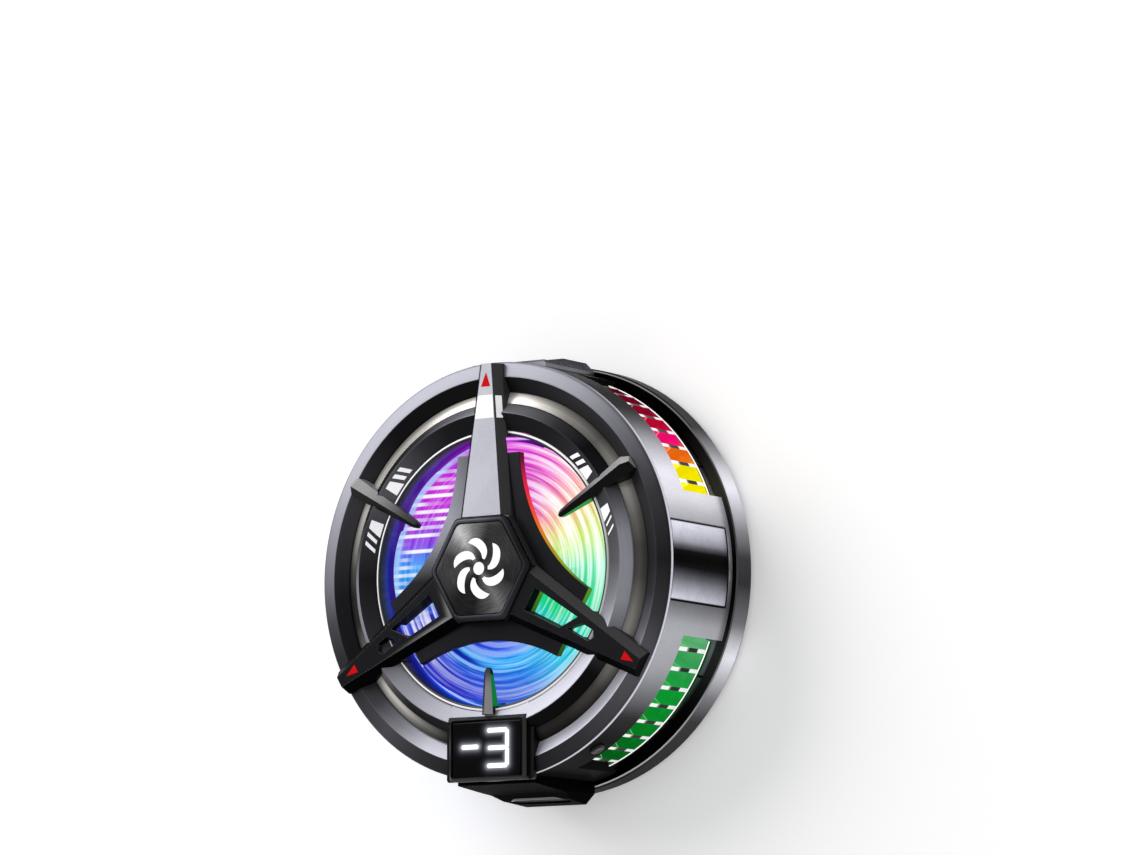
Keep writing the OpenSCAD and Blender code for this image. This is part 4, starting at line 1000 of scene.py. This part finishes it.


# Fin finish: painted light on the roof that faces up and left, fading towards the tip,
# painted black shade on the other, with the fan's glow painted low on the walls
def finSheen():
    material, tree, shader = startFinish("fin satin", Metallic=0.4, Specular_IOR_Level=0.15,
                                         Specular_Tint=grey(0.2))
    spot = inMillimetres(tree)
    radius, turn, z = roundAxis(tree, spot)
    nx, ny, nz = skinAxes(tree)
    upLeft = calc(tree, "MULTIPLY_ADD", ny, 0.95, times(tree, nx, -0.2))
    fine = noise(tree, spot, 6.0, 2)
    light = times(tree, spread(tree, upLeft, 0.05, 0.4), spread(tree, radius, 14.0, 24.0, 0.12, 1.0))
    # Painted light on the low fin's side that faces right
    lower = times(tree, stepAt(tree, turn, 0.67), stepAt(tree, nz, 0.55))
    lower = times(tree, lower, spread(tree, nx, 0.3, 0.55))
    tip = spread(tree, radius, 13.2, 15.8, 0.2, 1.0)
    light = calc(tree, "MAXIMUM", light, times(tree, lower, times(tree, tip, 0.8)))
    colour = blendTones(tree, light, grey(0.012), grey(0.5))
    feed(tree, shader, Base_Color=scaleTone(tree, colour, spread(tree, fine, 0.3, 0.7, 0.92, 1.06)))
    feed(tree, shader, Roughness=calc(tree, "MULTIPLY_ADD", fine, 0.12, 0.24))
    # The fan's glow painted on the walls
    wall = times(tree, spread(tree, nz, 0.5, 0.3), spread(tree, upLeft, -0.05, -0.18))
    wall = times(tree, wall, stepAt(tree, radius, 18.2, -0.3))
    wall = times(tree, wall, spread(tree, radius, 12.9, 14.0, 0.3, 1.0))
    feed(tree, shader, Emission_Color=tonesRound(tree, turn, wallLights), Emission_Strength=wall)
    return material


# Colours of the fan's light painted on the fins' walls
wallLights = {30: "0b8a34", 60: "0b8a34", 100: "3a1080", 200: "3a1080", 240: "0c8a3c", 300: "0c8a3c"}
addPiece("guideFins", joined(guideFins), finSheen(), stands=["guide_fins"], edge=0.07,
         sharp=24)
print("guide fins made")

# Display: lens with a lit number, each stroke a bar from one point to another, and the number's light
# painted on the lens round it as a halo
displaySet = {
    "half": (5.6, 3.7), "centre": (0.0, -23.75), "low": 20.13, "top": 20.58, "stroke": 0.58,
    "lift": (-0.04, 0.02), "lip": (0.25, 0.08), "halo": (0.3, 0.24),
    "corners": {"x": 5.7, "y": (-20.0, -27.5), "z": 18.4, "tall": 0.01, "reach": 0.55},  # of the housing
    "bars": [((-3.85, -23.47), (-1.5, -23.47)), ((0.25, -21.37), (3.1, -21.37)),
             ((0.35, -23.7), (2.85, -23.7)), ((0.25, -26.07), (3.1, -26.07)),
             ((3.24, -21.5), (3.24, -23.55)), ((3.24, -23.86), (3.24, -25.94))],
}


# Distance in plan to the nearest bar
def barDistance(x, y):
    nearest = np.full(np.broadcast(x, y).shape, 99.0)
    for (x0, y0), (x1, y1) in displaySet["bars"]:
        size = (x1 - x0) ** 2 + (y1 - y0) ** 2
        share = np.clip(((x - x0) * (x1 - x0) + (y - y0) * (y1 - y0)) / size, 0, 1)
        nearest = np.minimum(nearest, np.hypot(x - x0 - share * (x1 - x0), y - y0 - share * (y1 - y0)))
    return nearest


# Lens: a plate whose edge falls away over the last share of its width
def displayLens():
    u, v = np.linspace(-1, 1, 90)[None, :], np.linspace(-1, 1, 64)[:, None]
    x = displaySet["centre"][0] + displaySet["half"][0] * u + 0 * v
    y = displaySet["centre"][1] + displaySet["half"][1] * v + 0 * u
    edge = np.minimum((1 - abs(u)) * displaySet["half"][0], (1 - abs(v)) * displaySet["half"][1])
    width, drop = displaySet["lip"]
    z = displaySet["top"] - drop * np.clip(1 - edge / width, 0, 1) ** 2
    top = np.stack([x, y, z], -1)
    floor = top.copy()
    floor[..., 2] = displaySet["low"]
    return loft(np.concatenate([top, floor[:, ::-1]], 1))


# Bar: a flat stroke with pointed ends, standing a hair out of the lens
def bar(start, end):
    start, end = np.array(start), np.array(end)
    along = (end - start) / np.linalg.norm(end - start)
    side = np.array([-along[1], along[0]]) * displaySet["stroke"] / 2
    tip = along * displaySet["stroke"] / 2
    turns = [(start, -0.5, 0.5), (start, 0.2, 1), (end, -0.2, 1), (end, 0.5, 0.5),
             (end, 0.5, -0.5), (end, -0.2, -1), (start, 0.2, -1), (start, -0.5, -0.5)]
    flat = np.array([point + forward * tip + across * side for point, forward, across in turns])
    return loft(np.stack([atHeight(flat, displaySet["top"] + lift) for lift in displaySet["lift"]]))


def lensFinish():
    material, tree, shader = startFinish("lens", Roughness=0.12, Specular_IOR_Level=0.08)
    spot = inMillimetres(tree)
    smoke = noise(tree, spot, 0.5, 3)
    # Halo: painted glow of the digits' light on the lens
    halo = addNode(tree, "Attribute", attribute_name="halo").outputs["Fac"]
    feed(tree, shader, Base_Color=blendTones(tree, smoke, tone("010102"), tone("040406")))
    feed(tree, shader, Emission_Color=blendTones(tree, halo, tone("dfe6ff"), tone("ffffff")))
    feed(tree, shader, Emission_Strength=times(tree, halo, 0.4))
    return material


def digitFinish():
    material, tree, shader = startFinish("lit digits", Roughness=0.3, Emission_Strength=1.0)
    cloud = noise(tree, inMillimetres(tree), 1.2)
    lit = blendTones(tree, cloud, tone("f4f7ff"), tone("ffffff"))
    feed(tree, shader, Base_Color=lit, Emission_Color=lit)
    return material


lens = addPiece("displayLens", displayLens(), lensFinish(), stands=["display_lens"])
lensX, lensY, lensZ = vertexSpots(lens).T
# The halo is painted glow round the digits
haloStart, haloFade = displaySet["halo"]
halo = np.exp(-np.maximum(barDistance(lensX, lensY) - haloStart, 0) / haloFade)
lens.data.attributes.new("halo", "FLOAT", "POINT").data.foreach_set("value", halo.astype(np.float32))
addPiece("displayDigits", joined([bar(*ends) for ends in displaySet["bars"]]), digitFinish())
# Housing: painted highlight on its eased edges
housingGloss = edgedFinish("display housing", "0a0a0c", "0f0f12", 0.3, (0.3, 0.9), 0.045, metal=0.2,
                           Specular_IOR_Level=0.15)
easedCopy("display_housing", "displayHousing", housingGloss, 0.12,
          corners=displaySet["corners"])
print("display made")

# Barrel, brackets and the two gloss panels; the panels' bands are a painted reflection that runs
# from edge to edge, with a dark seam and a painted highlight line at each
panelSet = {"half": 5.35, "radius": (27.2, 28.05), "height": (4.9, 18.3), "ease": 0.14,
            "bands": [(0.0, 0.01), (0.015, 0.01), (0.025, 0.8), (0.05, 0.8), (0.12, 0.58), (0.2, 0.36),
                      (0.28, 0.17), (0.35, 0.07), (0.42, 0.014), (0.5, 0.003), (0.56, 0.003), (0.62, 0.012),
                      (0.68, 0.14), (0.74, 0.44), (0.82, 0.68), (0.9, 0.86), (0.955, 0.95), (0.972, 0.95),
                      (0.984, 0.02), (1.0, 0.01)], "foot": 5.3}


# Panel: an eased rectangle of (radius, height) carried across the width, each radius kept on its own circle
def sidePanel(turn):
    (rIn, rOut), (low, high) = panelSet["radius"], panelSet["height"]
    profile = rounded([(rIn, low), (rOut, low), (rOut, high), (rIn, high)], panelSet["ease"])
    y = np.linspace(-panelSet["half"], panelSet["half"], 40)[:, None]
    x = np.sqrt(profile[None, :, 0] ** 2 - y ** 2)
    loops = np.stack(np.broadcast_arrays(x, y, profile[None, :, 1]), -1)
    return turnedShape(loft(loops), turn)


# Mirror gloss with a painted reflection that runs light, black, light from edge to edge, with a faint haze
def panelFinish():
    # A little glow of its own colour: painted light
    material, tree, shader = startFinish("panel gloss", Metallic=0.7, Specular_IOR_Level=0.05,
                                         Specular_Tint=grey(0.1), Emission_Strength=0.15)
    spot = inMillimetres(tree)
    x, y, z = splitAxes(tree, spot)
    place = calc(tree, "MULTIPLY_ADD", times(tree, y, calc(tree, "SIGN", x)), 0.5 / panelSet["half"], 0.5)
    bands = [(share, grey(value)) for share, value in panelSet["bands"]]
    haze = noise(tree, spot, 0.4, 3)
    colour = scaleTone(tree, ramp(tree, place, bands), spread(tree, haze, 0.3, 0.7, 0.94, 1.05))
    colour = tintTone(tree, colour, tone("eeeefd"))
    colour = blendTones(tree, stepAt(tree, z, panelSet["foot"]), grey(0.012), colour)
    feed(tree, shader, Base_Color=colour, Emission_Color=colour)
    feed(tree, shader, Roughness=calc(tree, "MULTIPLY_ADD", haze, 0.08, 0.24))
    return material


panelGloss = panelFinish()
addPiece("sidePanelRight", sidePanel(0), panelGloss, stands=["side_panel_right"], edge=0.08)
addPiece("sidePanelLeft", sidePanel(180), panelGloss, stands=["side_panel_left"], edge=0.08)
easedCopy("barrel", "barrelWall", barrelMetal, 0.1)
easedCopy("top_bracket", "topBracket", bracketSatin, 0.14)
easedCopy("bottom_bracket", "bottomBracket", bracketSatin, 0.14)


# Sink fins: the node's fins with their fold let out evenly from
# the core to the outer edge, where they end straight and thicker
foldSet = {"count": 60, "fold": 0.9, "low": 6.05, "middle": 10.2, "start": 15.0, "end": 27.4, "hem": 0.3}


def sinkFins():
    piece = easedCopy("sink_fins", "sinkFins", finLit, 0.04, sharp=5)
    x, y, z = vertexSpots(piece).T
    r, angle, pitch = np.hypot(x, y), np.arctan2(y, x), 2 * np.pi / foldSet["count"]
    offset = np.interp(z, (foldSet["low"], foldSet["middle"], z.max()), (0, foldSet["fold"], 0))
    fin = np.round((angle - offset / r) / pitch) * pitch
    along, across = r * np.cos(angle - fin), r * np.sin(angle - fin)
    share = np.clip((r - foldSet["start"]) / (foldSet["end"] - foldSet["start"]), 0, 1)
    across = (across - offset) * (1 + foldSet["hem"] * share) + offset * (1 - share)
    x, y = along * np.cos(fin) - across * np.sin(fin), along * np.sin(fin) + across * np.cos(fin)
    spots = np.stack([x, y, z], 1) * millimetre
    piece.data.vertices.foreach_set("co", spots.astype(np.float32).ravel())
    piece.data.update()


sinkFins()

# Button: an outline of (radius, distance from the fan's axis) turned about its own axis, dished at the end
buttonSet = {"angle": -59, "flange": 1.3,
             "outline": [(0, 25.9), (1.3, 25.9), (1.3, 26.4), (1.0, 26.4), (1.0, 28.3), (0.8, 28.5),
                         (0.45, 28.47), (0, 28.4)]}


def pressButton():
    profile = rounded(buttonSet["outline"], 0.1, closed=False)
    around = np.linspace(0, 2 * np.pi, 64, endpoint=False)
    r, out = np.maximum(profile[:, 0], 1e-4)[:, None], profile[:, 1][:, None]
    loops = np.stack(np.broadcast_arrays(out, r * np.cos(around), r * np.sin(around)), -1)
    points, faces = turnedShape(loft(loops), buttonSet["angle"])
    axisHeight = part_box("mode_button")[0][2] / millimetre + buttonSet["flange"]
    return points + np.array([0, 0, axisHeight]), faces


addPiece("modeButton", pressButton(), buttonSatin, "button", ["mode_button"])
print("barrel made")

# Rotor: blades of (s outwards, t from leading to trailing
# edge), a loop round each section, and a cupped hub
rotorSet = {"blades": 11, "root": 6.1, "length": 11.4, "sweep": 16, "cover": 1.3, "middle": 16.65,
            "dive": 1.6, "bow": 0.5, "half": 0.25,
            "hub": [(1.05, 18.0), (5.63, 18.0), (5.63, 14.7), (6.3, 14.7), (6.3, 18.6), (1.05, 18.6)]}


# z falls from leading to trailing edge, bows up in the middle, and the thickness closes round both edges
def fanRotor():
    s = np.concatenate([np.linspace(0, 0.98, 18), [0.99, 1.0]])[:, None]
    k = np.linspace(0, 2 * np.pi, 36, endpoint=False)[None, :]
    t = 0.5 - 0.5 * np.cos(k)
    half = rotorSet["half"] * np.sign(np.sin(k)) * np.abs(np.sin(k)) ** 0.4 * np.where(s > 0.995, 0.5, 1.0)
    r = rotorSet["root"] + rotorSet["length"] * s + 0 * k
    cover = rotorSet["cover"] * 360 / rotorSet["blades"]
    angle = np.radians(rotorSet["sweep"] * s ** 2 + cover * (t - 0.5))
    fall = rotorSet["dive"] * (0.5 - t) * (1 - 0.25 * s)
    z = rotorSet["middle"] + fall + rotorSet["bow"] * (1 - (2 * t - 1) ** 2) * s + half
    blades = ringOf(loft(polar(r, angle, z)), rotorSet["blades"])
    return joined(blades + [lathe(rounded(rotorSet["hub"], 0.15), 120)])


addPiece("fanRotor", fanRotor(), bladeLit, "rotor", ["fan_rotor"], sharp=50)
print("rotor made")


# Contact pad: a flat ring with low ribs round it, lowest where it meets the phone
padSet = {"radius": (18.55, 28.2), "rib": 0.05, "pitch": 0.96, "fill": 0.9,
          "rim": [(28.6, 0.25), (28.6, 0.6), (18.42, 0.6), (18.42, 0.12)]}


def contactPad():
    near, far = padSet["radius"]
    r = np.linspace(near, far, 110)
    rib = padSet["rib"] * (1 - np.cos(2 * np.pi * (r - near) / padSet["pitch"]))
    return lathe(np.concatenate([np.column_stack([r, rib]), np.array(padSet["rim"])]), 200)


# Foam: a round block with a square hole, both edges crowned; its outline is (share of the way out, height)
foamSet = {"hole": 12.75, "widest": 17.4, "radius": 19.05, "fill": 0.8,
           "outline": [(0, 2.75), (0.12, 2.42), (0.88, 2.42), (1, 2.75), (1, 5.05), (0.88, 5.38),
                       (0.12, 5.38), (0, 5.05)]}


def foamGasket():
    angle = np.linspace(0, 2 * np.pi, 160, endpoint=False)[:, None]
    square = foamSet["hole"] / np.maximum(np.abs(np.cos(angle)), np.abs(np.sin(angle)))
    square = np.minimum(square, foamSet["widest"])
    share, z = np.array(foamSet["outline"]).T[:, None]
    return loft(polar(square + share * (foamSet["radius"] - square), angle, z), ring=True)


pad = addPiece("contactPad", contactPad(), silicone, stands=["contact_pad"])
foam = addPiece("foamGasket", foamGasket(), foamDark, stands=["foam_gasket"])
print("soft parts made")


# Flange: painted light and shade round the axis, painted black shade on the ledge in front, a painted
# highlight line on the bevel between, and glow as painted light
def flangeFinish():
    material = satinFinish("flange metal", "efeff8", "f6f6fe", 0.32, metal=0.5, turnTones=flangeTones,
                           **darkEdge)
    tree, shader = reopened(material)
    radius, turn, z = roundAxis(tree, inMillimetres(tree))
    nx, ny, nz = skinAxes(tree)
    plain = shader.inputs["Base Color"].links[0].from_socket
    # Painted shade on the ledge that faces forward
    colour = scaleTone(tree, plain, spread(tree, nz, 0.8, 0.95, 1.0, 0.03))
    bevel = times(tree, stepAt(tree, nz, 0.3), stepAt(tree, nz, 0.9, -0.04))
    line = times(tree, bevel, stepAt(tree, z, 3.84))
    # Painted highlight line on the bevel
    colour = blendTones(tree, line, colour, tonesRound(tree, turn, bevelTones))
    feed(tree, shader, Base_Color=colour, Emission_Color=colour)
    # Glow: painted light
    shader.inputs["Emission Strength"].default_value = 0.38
    return material


# Sink: the same lights as its fins painted in the vents as glow, weaker deeper in, black beyond them in
# painted shade, with a painted highlight line along the lip under them
def sinkFinish():
    material, tree, shader = startFinish("sink aluminium", Metallic=0.4, Specular_IOR_Level=0.2)
    spot = inMillimetres(tree)
    radius, turn, z = roundAxis(tree, spot)
    dull = noise(tree, spot, 0.9, 3)
    lit = scaleTone(tree, tonesRound(tree, turn, ventLights), spread(tree, dull, 0.3, 0.7, 0.78, 0.9))
    # Painted highlight line along the lip
    line = times(tree, stepAt(tree, radius, 27.3), stepAt(tree, z, 5.84))
    lip = blendTones(tree, line, grey(0.01), grey(0.92))
    colour = blendTones(tree, stepAt(tree, radius, 27.2), lit, lip)
    feed(tree, shader, Base_Color=scaleTone(tree, colour, spread(tree, line, 0, 1, 0.35, 1.0)),
         Emission_Color=colour)
    # The glow is painted weaker deeper in
    feed(tree, shader, Emission_Strength=spread(tree, radius, 16.0, 22.0, 0.1, 0.9))
    feed(tree, shader, Roughness=calc(tree, "MULTIPLY_ADD", dull, 0.2, 0.25))
    return material


# Nodes whose own shape stays
nodeFinishes = {
    "base_shell": flangeFinish(), "cold_plate": coldMetal, "magnets": plated, "peltier_module": ceramic,
    "peltier_leads": leadRed,
    "temperature_sensor": sensorBlack, "main_board": board, "led_board": board, "leds": ledWhite,
    "usb_shell": steel,
    "usb_tongue": innerBlack, "heat_sink": sinkFinish(), "button_switch": innerBlack, "fan_frame": frameLit,
    "bearing_sleeve": bronze, "stator_core": steel, "stator_coils": copper, "rotor_yoke": steel,
    "rotor_magnet": plated,
    "rotor_shaft": steel, "display_module": moduleBlack, "base_screws": steel, "guard_screws": steel,
    "hub_screw": steel,
}
for name, material in nodeFinishes.items():
    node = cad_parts[name]
    node.data.materials.clear()
    node.data.materials.append(material)
print("frame nodes finished")

# Studio: pale floor under the contact face, one round soft box up to the left, a grey room
studioSet = {"floor": 6.0, "floorTone": 0.9, "lift": 0.3, "boxAim": (-0.6, 0.55, 0.58), "boxFar": 1.1,
             "boxSize": 1.05, "boxLight": 3.2, "room": 0.5, "drop": 0.0001}
half = studioSet["floor"] / 2
floorMesh = bpy.data.meshes.new("floor")
floorCorners = [(x, y, -studioSet["drop"])
                for x, y in ((-half, -half), (half, -half), (half, half), (-half, half))]
floorMesh.from_pydata(floorCorners, [], [(0, 1, 2, 3)])
floor = linked("floor", floorMesh)
floorPaint, floorTree, floorShader = startFinish("floor", Roughness=0.9,
                                                 Base_Color=grey(studioSet["floorTone"]),
                                                 Emission_Color=grey(1.0), Specular_IOR_Level=0.0)
path = addNode(floorTree, "LightPath").outputs
bent = calc(floorTree, "MAXIMUM", path["Is Glossy Ray"], path["Is Transmission Ray"])
seen = calc(floorTree, "MAXIMUM", path["Is Camera Ray"], bent)
feed(floorTree, floorShader, Emission_Strength=times(floorTree, seen, studioSet["lift"]))
behind = addNode(floorTree, "NewGeometry").outputs["Backfacing"]
clear = addNode(floorTree, "BsdfTransparent").outputs[0]
surface = addNode(floorTree, "MixShader", {0: behind, 1: floorShader.outputs[0], 2: clear}).outputs[0]
floorTree.links.new(surface, floorTree.nodes["Material Output"].inputs["Surface"])
floorMesh.materials.append(floorPaint)


# A round soft box that faces the object
def addSoftBox(name, aim, far, size, light):
    data = bpy.data.lights.new(name, "AREA")
    data.shape = "DISK"
    data.size = size
    data.energy = light * math.pi * math.pi * size ** 2 / 4
    box = linked(name, data)
    z = np.array(aim) / np.linalg.norm(aim)
    x = np.array((1.0, 0, 0)) - z[0] * z
    x /= np.linalg.norm(x)
    y = np.cross(z, x)
    box.matrix_world = Matrix.Translation(z * far) @ Matrix((x, y, z)).transposed().to_4x4()
    box.visible_camera = False


addSoftBox("softBox", studioSet["boxAim"], studioSet["boxFar"], studioSet["boxSize"], studioSet["boxLight"])
world = bpy.data.worlds.new("room")
scene.world = world
world.use_nodes = True
worldTree = world.node_tree
worldTree.nodes["Background"].inputs["Color"].default_value = grey(studioSet["room"])
print("studio set")
